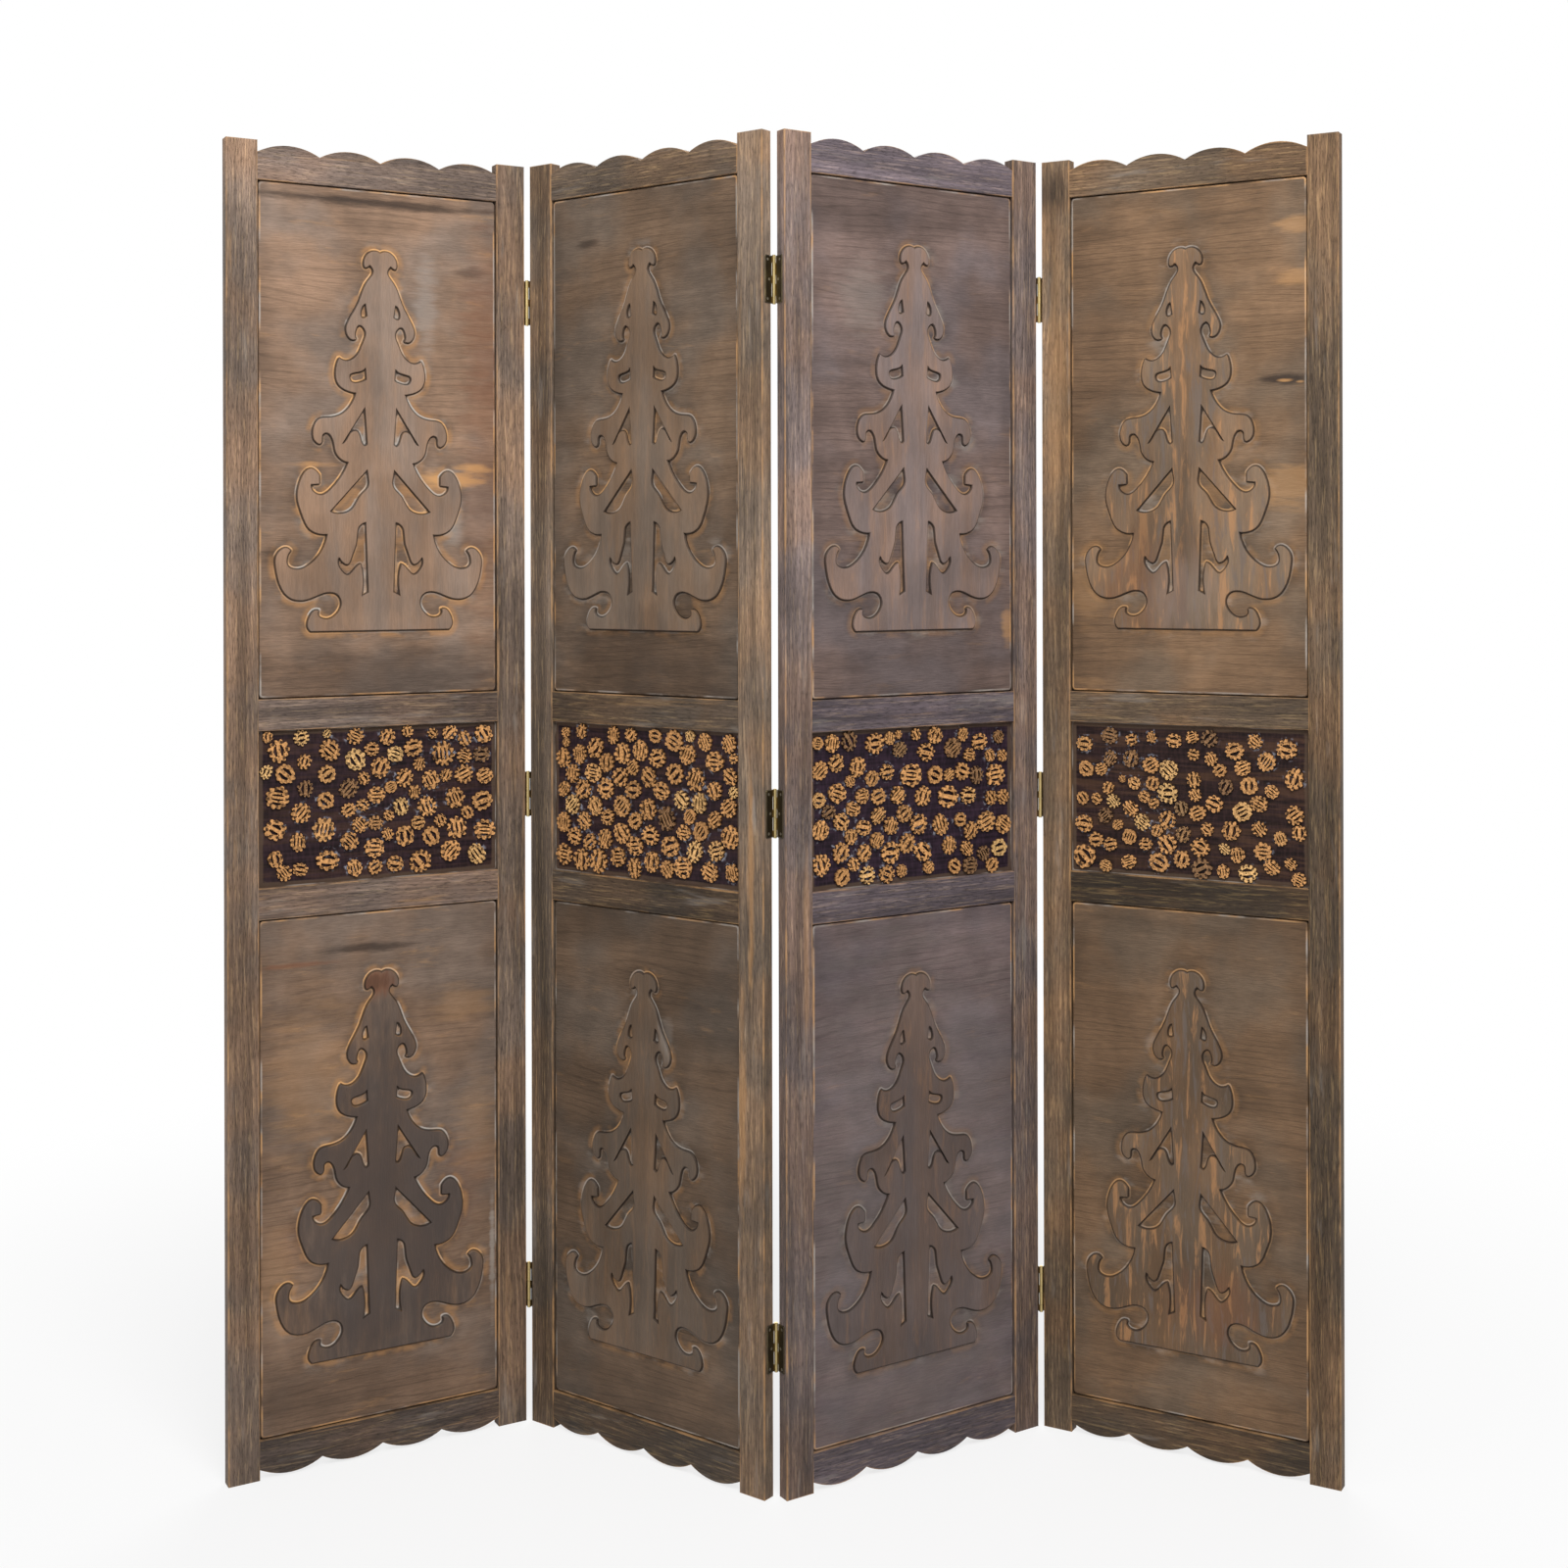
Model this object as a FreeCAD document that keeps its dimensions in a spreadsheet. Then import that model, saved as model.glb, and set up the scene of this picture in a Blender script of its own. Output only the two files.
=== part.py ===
import FreeCAD, Part
import math
import os
import re

import Sketcher
from FreeCAD import Placement, Rotation, Vector

# A free-standing folding screen of four equal framed leaves, set up in a zigzag.
# Each leaf has a raised panel with a fir tree above and below a board of nut shell slices.
# Lengths are in mm, X runs across the screen, Y away from the viewer and Z up from the floor.

os.makedirs("parts", exist_ok=True)
doc = FreeCAD.newDocument("FoldingScreen")

# Driving dimensions

SIZES = (
    ("leaf_height", "1700"),
    ("leaf_width", "400"),
    ("leaf_thickness", "18"),
    ("leaf_1_turn", "30"),
    ("leaf_2_turn", "-36.5"),
    ("leaf_3_turn", "33"),
    ("leaf_4_turn", "-29"),
    ("stile_width", "40"),
    ("stile_rounding", "1"),
    ("rail_setback", "0.6"),
    ("top_rail_height", "46"),
    ("middle_rail_height", "40"),
    ("bottom_rail_height", "47.5"),
    ("crest_drop", "4"),
    ("foot_gap", "2.5"),
    ("scallop_depth", "11"),
    ("board_height", "200"),
    ("tongue_thickness", "5"),
    ("groove_slip", "0.1"),
    ("groove_depth", "6"),
    ("tongue_play", "0.5"),
    ("tenon_length", "20"),
    ("tenon_step", "1"),
    ("mortise_play", "0.5"),
    ("field_setback", "3"),
    ("field_gap", "1.2"),
    ("field_corner", "5"),
    ("field_rounding", "2"),
    ("tree_thickness", "2"),
    ("tree_side_margin", "22"),
    ("tree_base_margin", "85"),
    ("tree_top_margin", "80"),
    ("slice_size", "28"),
    ("slice_thickness", "3.5"),
    ("slice_spacing", "0.4"),
    ("hinge_end_margin", "185"),
    ("end_knuckle", "9"),
    ("long_knuckle", "16"),
    ("middle_knuckle", "10"),
    ("knuckle_gap", "0.3"),
    ("knuckle_radius", "2.5"),
    ("knuckle_relief", "0.25"),
    ("plate_width", "16"),
    ("plate_thickness", "1.2"),
    ("plate_corner", "2"),
    ("pin_radius", "1.25"),
    ("pin_slip", "0.05"),
    ("pin_head_radius", "1.9"),
    ("pin_head_height", "0.8"),
    ("screw_inset", "5.5"),
    ("screw_stagger", "1.5"),
    ("screw_length", "10"),
    ("screw_tip", "2"),
    ("shank_radius", "1"),
    ("screw_slip", "0.05"),
    ("screw_head_radius", "1.85"),
    ("slot_width", "0.6"),
    ("slot_depth", "0.4"),
    ("pilot_play", "0.5"),
    ("cut_overrun", "1"),
)

SCALLOP_COUNT = 4
HINGE_COUNT = 3
TREE_COUNT = 2

sheet = doc.addObject("Spreadsheet::Sheet", "sizes")
for row, (alias, number) in enumerate(SIZES, start=1):
    sheet.set(f"A{row}", alias)
    sheet.set(f"B{row}", number)
    sheet.setAlias(f"B{row}", alias)
doc.recompute()


def formula(text):
    """Point each size that a formula names at the sheet."""
    return re.sub(r"[a-z]+(?:_[a-z0-9]+)+", lambda word: "sizes." + word.group(), text)


def value(text):
    """Work out a formula on the sheet's sizes as a plain number."""
    return float(sheet.evalExpression(formula(text)))


def bind(thing, place, text):
    """Tie one property to a formula on the sheet's sizes."""
    thing.setExpression(place, formula(text))


# Sizes that follow from the driving ones, as formulas

OPENING_WIDTH = "(leaf_width - 2 * stile_width)"
RAILS = "(top_rail_height + 2 * middle_rail_height + bottom_rail_height)"
PANEL_HEIGHT = f"((leaf_height - crest_drop - foot_gap - board_height - {RAILS}) / 2)"
LOWER_PANEL_BASE = "(foot_gap + bottom_rail_height)"
LOWER_MIDDLE_BASE = f"({LOWER_PANEL_BASE} + {PANEL_HEIGHT})"
BOARD_BASE = f"({LOWER_MIDDLE_BASE} + middle_rail_height)"
UPPER_MIDDLE_BASE = f"({BOARD_BASE} + board_height)"
UPPER_PANEL_BASE = f"({UPPER_MIDDLE_BASE} + middle_rail_height)"
TOP_RAIL_BASE = f"({UPPER_PANEL_BASE} + {PANEL_HEIGHT})"
PANEL_STEP = f"({UPPER_PANEL_BASE} - {LOWER_PANEL_BASE})"

RAIL_THICKNESS = "(leaf_thickness - 2 * rail_setback)"
GROOVE_HALF = "(tongue_thickness / 2 + groove_slip)"
TONGUE_REACH = "(groove_depth - tongue_play)"
TENON_MARGIN = "(groove_depth + tenon_step)"
FIELD_FACE = "(leaf_thickness / 2 - field_setback)"
FIELD_THICKNESS = f"({FIELD_FACE} - tongue_thickness / 2)"
FILLET_WALL_SHARE = 0.8
FIELD_ROUND = f"min(field_rounding; {FIELD_THICKNESS} * {FILLET_WALL_SHARE})"

TREE_HALF_WIDTH = f"({OPENING_WIDTH} / 2 - tree_side_margin)"
TREE_HEIGHT = f"({PANEL_HEIGHT} - tree_base_margin - tree_top_margin)"

HINGE_HALF = "(end_knuckle + long_knuckle + middle_knuckle / 2)"
HINGE_STEP = "(leaf_height / 2 - hinge_end_margin)"
HINGE_LEVELS = ("hinge_end_margin", "leaf_height / 2", "leaf_height - hinge_end_margin")
PIN_PROUD = "(knuckle_radius + knuckle_relief)"
PLATE_FACE = "(knuckle_radius - plate_thickness)"
PLATE_START = "(knuckle_radius + knuckle_gap)"
SCREW_LINE = f"(({PLATE_START} + plate_width) / 2)"
SCREW_REACH = f"({HINGE_HALF} - screw_inset)"
SCREW_PLACES = (
    (f"({SCREW_LINE} + screw_stagger)", f"-{SCREW_REACH}"),
    (f"({SCREW_LINE} - screw_stagger)", "0"),
    (f"({SCREW_LINE} + screw_stagger)", SCREW_REACH),
)


# Sketch and feature helpers

FLOOR_PLANE = "XY_Plane"
FRONT_PLANE = "XZ_Plane"
SIDE_PLANE = "YZ_Plane"

ORIGIN = (-1, 1)
START = 1
END = 2
MIDDLE = 3


def new_body(name):
    """Start a piece under the name that its file gets."""
    body = doc.addObject("PartDesign::Body", name)
    body.Label = name
    return body


def new_sketch(body, name, plane, offset=None):
    """Lay a sketch on one of the body's own planes, moved along its normal by a formula."""
    sketch = body.newObject("Sketcher::SketchObject", name)
    planes = {feature.Role: feature for feature in body.Origin.OriginFeatures}
    sketch.AttachmentSupport = [(planes[plane], "")]
    sketch.MapMode = "FlatFace"
    if offset:
        bind(sketch, ".AttachmentOffset.Base.z", offset)
    return sketch


def hold_point(sketch, edge, end, across, up):
    """Hold an edge's end at a place given by two formulas from the sketch's origin."""
    for kind, text in (("DistanceX", across), ("DistanceY", up)):
        rule = Sketcher.Constraint(kind, *ORIGIN, edge, end, value(text))
        number = sketch.addConstraint(rule)
        bind(sketch, f"Constraints[{number}]", text)


def add_sides(sketch, corners):
    """Draw a run of straight sides through corners, each corner given by two formulas."""
    points = [Vector(value(across), value(up)) for across, up in corners]
    edges = [sketch.addGeometry(Part.LineSegment(start, end)) for start, end in zip(points, points[1:])]
    for edge, following in zip(edges, edges[1:]):
        sketch.addConstraint(Sketcher.Constraint("Coincident", edge, END, following, START))
    for edge, corner in zip(edges, corners):
        hold_point(sketch, edge, START, *corner)
    return edges


def add_outline(sketch, corners):
    """Draw a closed outline of straight sides, each corner given by two formulas."""
    corners = tuple(corners)
    edges = add_sides(sketch, corners + corners[:1])
    sketch.addConstraint(Sketcher.Constraint("Coincident", edges[-1], END, edges[0], START))


def add_rectangle(sketch, left, low, right, high):
    """Draw an upright rectangle between two corners."""
    add_outline(sketch, ((left, low), (right, low), (right, high), (left, high)))


def add_circle(sketch, across, up, radius):
    """Draw a circle with its centre and radius held by formulas."""
    centre = Vector(value(across), value(up))
    circle = sketch.addGeometry(Part.Circle(centre, Vector(0, 0, 1), value(radius)))
    sketch.addConstraint(Sketcher.Constraint("Radius", circle, value(radius)))
    bind(sketch, f"Constraints[{sketch.ConstraintCount - 1}]", radius)
    hold_point(sketch, circle, MIDDLE, across, up)


def add_feature(body, kind, name, sketch, length, both_ways=False, turned=False):
    """Pad or pocket a sketch by a length."""
    feature = body.newObject("PartDesign::" + kind, name)
    feature.Profile = sketch
    bind(feature, "Length", length)
    feature.Reversed = turned
    if both_ways:
        feature.SideType = "Symmetric"
    return feature


def cut_away(body, name, sketch, length, both_ways=False, turned=False):
    """Pocket a sketch and make sure that it takes some of the piece away."""
    doc.recompute()
    before = body.Shape.Volume
    pocket = add_feature(body, "Pocket", name, sketch, length, both_ways, turned)
    doc.recompute()
    if not body.Shape.Volume < before:
        raise ValueError(f"{body.Label}: {name} cuts nothing")
    return pocket


def add_turning(body, name, sketch, axis):
    """Turn a sketch into a round solid about one of its own axes."""
    turning = body.newObject("PartDesign::Revolution", name)
    turning.Profile = sketch
    turning.ReferenceAxis = (sketch, [axis])
    turning.Angle = 360
    return turning


def round_edges(body, base, name, radius, wanted):
    """Round the edges of the last feature that a test picks."""
    doc.recompute()
    edges = enumerate(base.Shape.Edges, start=1)
    names = [f"Edge{number}" for number, edge in edges if wanted(edge)]
    fillet = body.newObject("PartDesign::Fillet", name)
    fillet.Base = (base, names)
    bind(fillet, "Radius", radius)
    return fillet


def repeat_up(body, sketch, span, count):
    """Repeat the whole piece straight up over a span."""
    pattern = body.newObject("PartDesign::LinearPattern", "repeat")
    pattern.TransformMode = "Whole shape"
    pattern.Direction = (sketch, ["V_Axis"])
    bind(pattern, "Length", span)
    pattern.Occurrences = count
    body.Tip = pattern
    return pattern


ALONG_SHARE = 0.999


def runs_along(edge, direction):
    """Tell whether an edge is straight and runs along a direction."""
    if edge.Curve.TypeId != "Part::GeomLine":
        return False
    return abs(edge.Curve.Direction.dot(direction)) > ALONG_SHARE


def spans_only(low, high, level):
    """Tell whether a span is no more than one level."""
    nearness = value("groove_slip") / 2
    return abs(low - level) < nearness and abs(high - level) < nearness


def lies_at_depth(edge, level):
    """Tell whether an edge lies in one upright plane that faces the viewer."""
    return spans_only(edge.BoundBox.YMin, edge.BoundBox.YMax, level)


def lies_at_side(edge, level):
    """Tell whether an edge lies in one upright plane that faces sideways."""
    return spans_only(edge.BoundBox.XMin, edge.BoundBox.XMax, level)


# Where the leaves stand: a chain from leaf 2 along the hinge pins, centred over the floor

LEAVES = (1, 2, 3, 4)
TURN = {leaf: value(f"leaf_{leaf}_turn") for leaf in LEAVES}
FRONT = -1
BACK = 1
LEFT = -1
RIGHT = 1
NO_TURN = Rotation()
HALF_TURN_ABOUT_X = Rotation(Vector(1, 0, 0), 180)
HALF_TURN_ABOUT_Y = Rotation(Vector(0, 1, 0), 180)
HALF_TURN_ABOUT_Z = Rotation(Vector(0, 0, 1), 180)


def turned(leaf, place):
    """Turn a place in a leaf's own plan to the screen's plan."""
    return Rotation(Vector(0, 0, 1), TURN[leaf]).multVec(place)


def pin_in_leaf(side, face):
    """Place a hinge pin in a leaf's plan, measured from its left edge at mid thickness."""
    across = value("-knuckle_radius") if side == LEFT else value("leaf_width + knuckle_radius")
    return Vector(across, face * value(f"leaf_thickness / 2 + {PIN_PROUD}"), 0)


HINGE_LINES = (
    ("hinge_12", 1, 2, FRONT),
    ("hinge_23", 2, 3, BACK),
    ("hinge_34", 3, 4, FRONT),
)
HINGE_FACE = {
    (1, RIGHT): FRONT,
    (2, LEFT): FRONT,
    (2, RIGHT): BACK,
    (3, LEFT): BACK,
    (3, RIGHT): FRONT,
    (4, LEFT): FRONT,
}
PIN_CARRIER = {"hinge_12": 2, "hinge_23": 2, "hinge_34": 3}


def chain_corners():
    """Work out each leaf's left end and each pin in plan, with leaf 2 at the origin."""
    corner = {2: Vector(0, 0, 0)}
    pin = {}
    pin["hinge_12"] = corner[2] + turned(2, pin_in_leaf(LEFT, FRONT))
    corner[1] = pin["hinge_12"] - turned(1, pin_in_leaf(RIGHT, FRONT))
    pin["hinge_23"] = corner[2] + turned(2, pin_in_leaf(RIGHT, BACK))
    corner[3] = pin["hinge_23"] - turned(3, pin_in_leaf(LEFT, BACK))
    pin["hinge_34"] = corner[3] + turned(3, pin_in_leaf(RIGHT, FRONT))
    corner[4] = pin["hinge_34"] - turned(4, pin_in_leaf(LEFT, FRONT))
    return corner, pin


def plan_centre(corner):
    """Find the middle of the plan's box, allowing for the rounded corners of the stiles."""
    inset = value("stile_rounding")
    half = value("leaf_thickness / 2") - inset
    across = (inset, value("leaf_width") - inset)
    ends = [Vector(x, y, 0) for x in across for y in (-half, half)]
    rounds = [corner[leaf] + turned(leaf, end) for leaf in LEAVES for end in ends]
    low_x, high_x = min(p.x for p in rounds), max(p.x for p in rounds)
    low_y, high_y = min(p.y for p in rounds), max(p.y for p in rounds)
    return Vector((low_x + high_x) / 2, (low_y + high_y) / 2, 0)


CORNER, PIN = chain_corners()
CENTRE = plan_centre(CORNER)
parts = []


def finish_part(piece, leaf, origin, spin=NO_TURN):
    """Set a finished piece in its leaf: origin in the leaf's frame, spin about that origin."""
    in_leaf = Placement(origin, spin)
    leaf_place = Placement(CORNER[leaf] - CENTRE, Rotation(Vector(0, 0, 1), TURN[leaf]))
    piece.Placement = leaf_place.multiply(in_leaf)
    parts.append(piece)


# Rails: name, base level, height, tenon from and to, scalloped edge, grooved edges

RAIL_LIST = (
    (
        "bottom_rail", "foot_gap", "bottom_rail_height",
        f"(scallop_depth + {TENON_MARGIN})", f"(bottom_rail_height - {TENON_MARGIN})",
        "low", ("high",),
    ),
    (
        "lower_middle_rail", LOWER_MIDDLE_BASE, "middle_rail_height",
        TENON_MARGIN, f"(middle_rail_height - {TENON_MARGIN})",
        None, ("low", "high"),
    ),
    (
        "upper_middle_rail", UPPER_MIDDLE_BASE, "middle_rail_height",
        TENON_MARGIN, f"(middle_rail_height - {TENON_MARGIN})",
        None, ("low", "high"),
    ),
    (
        "top_rail", TOP_RAIL_BASE, "top_rail_height",
        TENON_MARGIN, f"(top_rail_height - scallop_depth - {TENON_MARGIN})",
        "high", ("low",),
    ),
)


def add_scallops(sketch, height, edge):
    """Draw a rail's face with a row of shallow lobes along its high or low edge."""
    lobe = f"({OPENING_WIDTH} / {SCALLOP_COUNT})"
    radius = f"(({lobe} ^ 2 / 4 + scallop_depth ^ 2) / (2 * scallop_depth))"
    flat = "0" if edge == "high" else height
    cusp = f"({height} - scallop_depth)" if edge == "high" else "scallop_depth"
    crest = height if edge == "high" else "0"
    corners = (("0", cusp), ("0", flat), (OPENING_WIDTH, flat), (OPENING_WIDTH, cusp))
    edges = add_sides(sketch, corners)
    hold_point(sketch, edges[-1], END, *corners[-1])
    for number in range(SCALLOP_COUNT):
        ends = [f"({number} * {lobe})", f"({number + 1} * {lobe})"]
        if edge == "high":
            ends.reverse()
        first, last = (Vector(value(across), value(cusp)) for across in ends)
        top = Vector((first.x + last.x) / 2, value(crest))
        arc = sketch.addGeometry(Part.Arc(first, top, last))
        sketch.addConstraint(Sketcher.Constraint("Radius", arc, value(radius)))
        bind(sketch, f"Constraints[{sketch.ConstraintCount - 1}]", radius)
        hold_point(sketch, arc, START, ends[0], cusp)
        hold_point(sketch, arc, END, ends[1], cusp)


def build_rail(leaf, name, base, height, tenon_low, tenon_high, scalloped, grooved):
    """Saw a rail with a tenon at each end and a groove along each edge that takes a panel."""
    body = new_body(f"leaf_{leaf}_{name}")
    face = new_sketch(body, "face", FRONT_PLANE)
    if scalloped:
        add_scallops(face, height, scalloped)
    else:
        add_rectangle(face, "0", "0", OPENING_WIDTH, height)
    add_feature(body, "Pad", "bar", face, RAIL_THICKNESS, both_ways=True)
    tenon = new_sketch(body, "tenon_face", FRONT_PLANE)
    add_rectangle(tenon, "-tenon_length", tenon_low, f"{OPENING_WIDTH} + tenon_length", tenon_high)
    add_feature(body, "Pad", "tenons", tenon, "tongue_thickness", both_ways=True)
    channel = new_sketch(body, "channel", SIDE_PLANE)
    spans = {
        "low": ("-cut_overrun", "groove_depth"),
        "high": (f"{height} - groove_depth", f"{height} + cut_overrun"),
    }
    for edge in grooved:
        low, high = spans[edge]
        add_rectangle(channel, f"-{GROOVE_HALF}", low, GROOVE_HALF, high)
    cut_away(body, "grooves", channel, f"2 * ({OPENING_WIDTH} + cut_overrun)", both_ways=True)
    finish_part(body, leaf, Vector(value("stile_width"), 0, value(base)))


# Stiles, drawn as the right one: inner edge at X 0, the wood beyond it, mid thickness at Y 0

def build_stile(leaf, side, hinge_face):
    """Saw a stile with its panel groove, its mortises and the pilot holes for its hinges."""
    name = "stile_left" if side == LEFT else "stile_right"
    body = new_body(f"leaf_{leaf}_{name}")
    section = new_sketch(body, "section", FLOOR_PLANE)
    add_rectangle(section, "0", "-leaf_thickness / 2", "stile_width", "leaf_thickness / 2")
    post = add_feature(body, "Pad", "post", section, "leaf_height")
    round_edges(body, post, "soft_edges", "stile_rounding", lambda edge: runs_along(edge, Vector(0, 0, 1)))

    channel = new_sketch(body, "channel", SIDE_PLANE)
    low, high = f"{LOWER_PANEL_BASE} - groove_depth", f"{TOP_RAIL_BASE} + groove_depth"
    add_rectangle(channel, f"-{GROOVE_HALF}", low, GROOVE_HALF, high)
    cut_away(body, "groove", channel, "groove_depth", turned=True)

    mouths = new_sketch(body, "mouths", SIDE_PLANE)
    for _, base, _, tenon_low, tenon_high, _, _ in RAIL_LIST:
        low, high = f"{base} + {tenon_low} - groove_slip", f"{base} + {tenon_high} + groove_slip"
        add_rectangle(mouths, f"-{GROOVE_HALF}", low, GROOVE_HALF, high)
    cut_away(body, "mortises", mouths, "tenon_length + mortise_play", turned=True)

    if hinge_face:
        holes = new_sketch(body, "hole_marks", SIDE_PLANE, "stile_width")
        for level in HINGE_LEVELS:
            for depth, up in SCREW_PLACES:
                across = f"{side * hinge_face} * (leaf_thickness / 2 + {PIN_PROUD} - {depth})"
                add_circle(holes, across, f"{level} + {up}", "shank_radius + screw_slip")
        cut_away(body, "pilot_holes", holes, "screw_length - plate_thickness + pilot_play")

    if side == RIGHT:
        finish_part(body, leaf, Vector(value("leaf_width - stile_width"), 0, 0))
    else:
        finish_part(body, leaf, Vector(value("stile_width"), 0, 0), HALF_TURN_ABOUT_Z)


# Panels and the slice board, from the opening's lower left corner, mid thickness at Y 0

def add_tongue_plate(body, height):
    """Draw the plate whose rim sits in the grooves round an opening."""
    plate = new_sketch(body, "plate_face", FRONT_PLANE)
    right, high = f"{OPENING_WIDTH} + {TONGUE_REACH}", f"{height} + {TONGUE_REACH}"
    add_rectangle(plate, f"-{TONGUE_REACH}", f"-{TONGUE_REACH}", right, high)
    return add_feature(body, "Pad", "plate", plate, "tongue_thickness", both_ways=True)


def build_panel(leaf, name, base):
    """Make a panel: a plate in the grooves and a raised field with soft corners and edges."""
    body = new_body(f"leaf_{leaf}_{name}")
    add_tongue_plate(body, PANEL_HEIGHT)
    field = new_sketch(body, "field_face", FRONT_PLANE, "tongue_thickness / 2")
    right, high = f"{OPENING_WIDTH} - field_gap", f"{PANEL_HEIGHT} - field_gap"
    add_rectangle(field, "field_gap", "field_gap", right, high)
    raised = add_feature(body, "Pad", "raised_field", field, FIELD_THICKNESS)
    front = -value(FIELD_FACE)

    def at_field_corner(edge):
        return runs_along(edge, Vector(0, 1, 0)) and abs(edge.BoundBox.YMin - front) < value("groove_slip")

    corners = round_edges(body, raised, "soft_corners", "field_corner", at_field_corner)
    round_edges(body, corners, "soft_rim", FIELD_ROUND, lambda edge: lies_at_depth(edge, front))
    finish_part(body, leaf, Vector(value("stile_width"), 0, value(base)))


def build_slice_board(leaf):
    """Make the plain thin board that the slices are glued to."""
    body = new_body(f"leaf_{leaf}_slice_board")
    add_tongue_plate(body, "board_height")
    finish_part(body, leaf, Vector(value("stile_width"), 0, value(BOARD_BASE)))


# Nut shell slices: place across, place up and size of each,
# as shares of the board's width and height and of the usual slice's size

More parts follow.
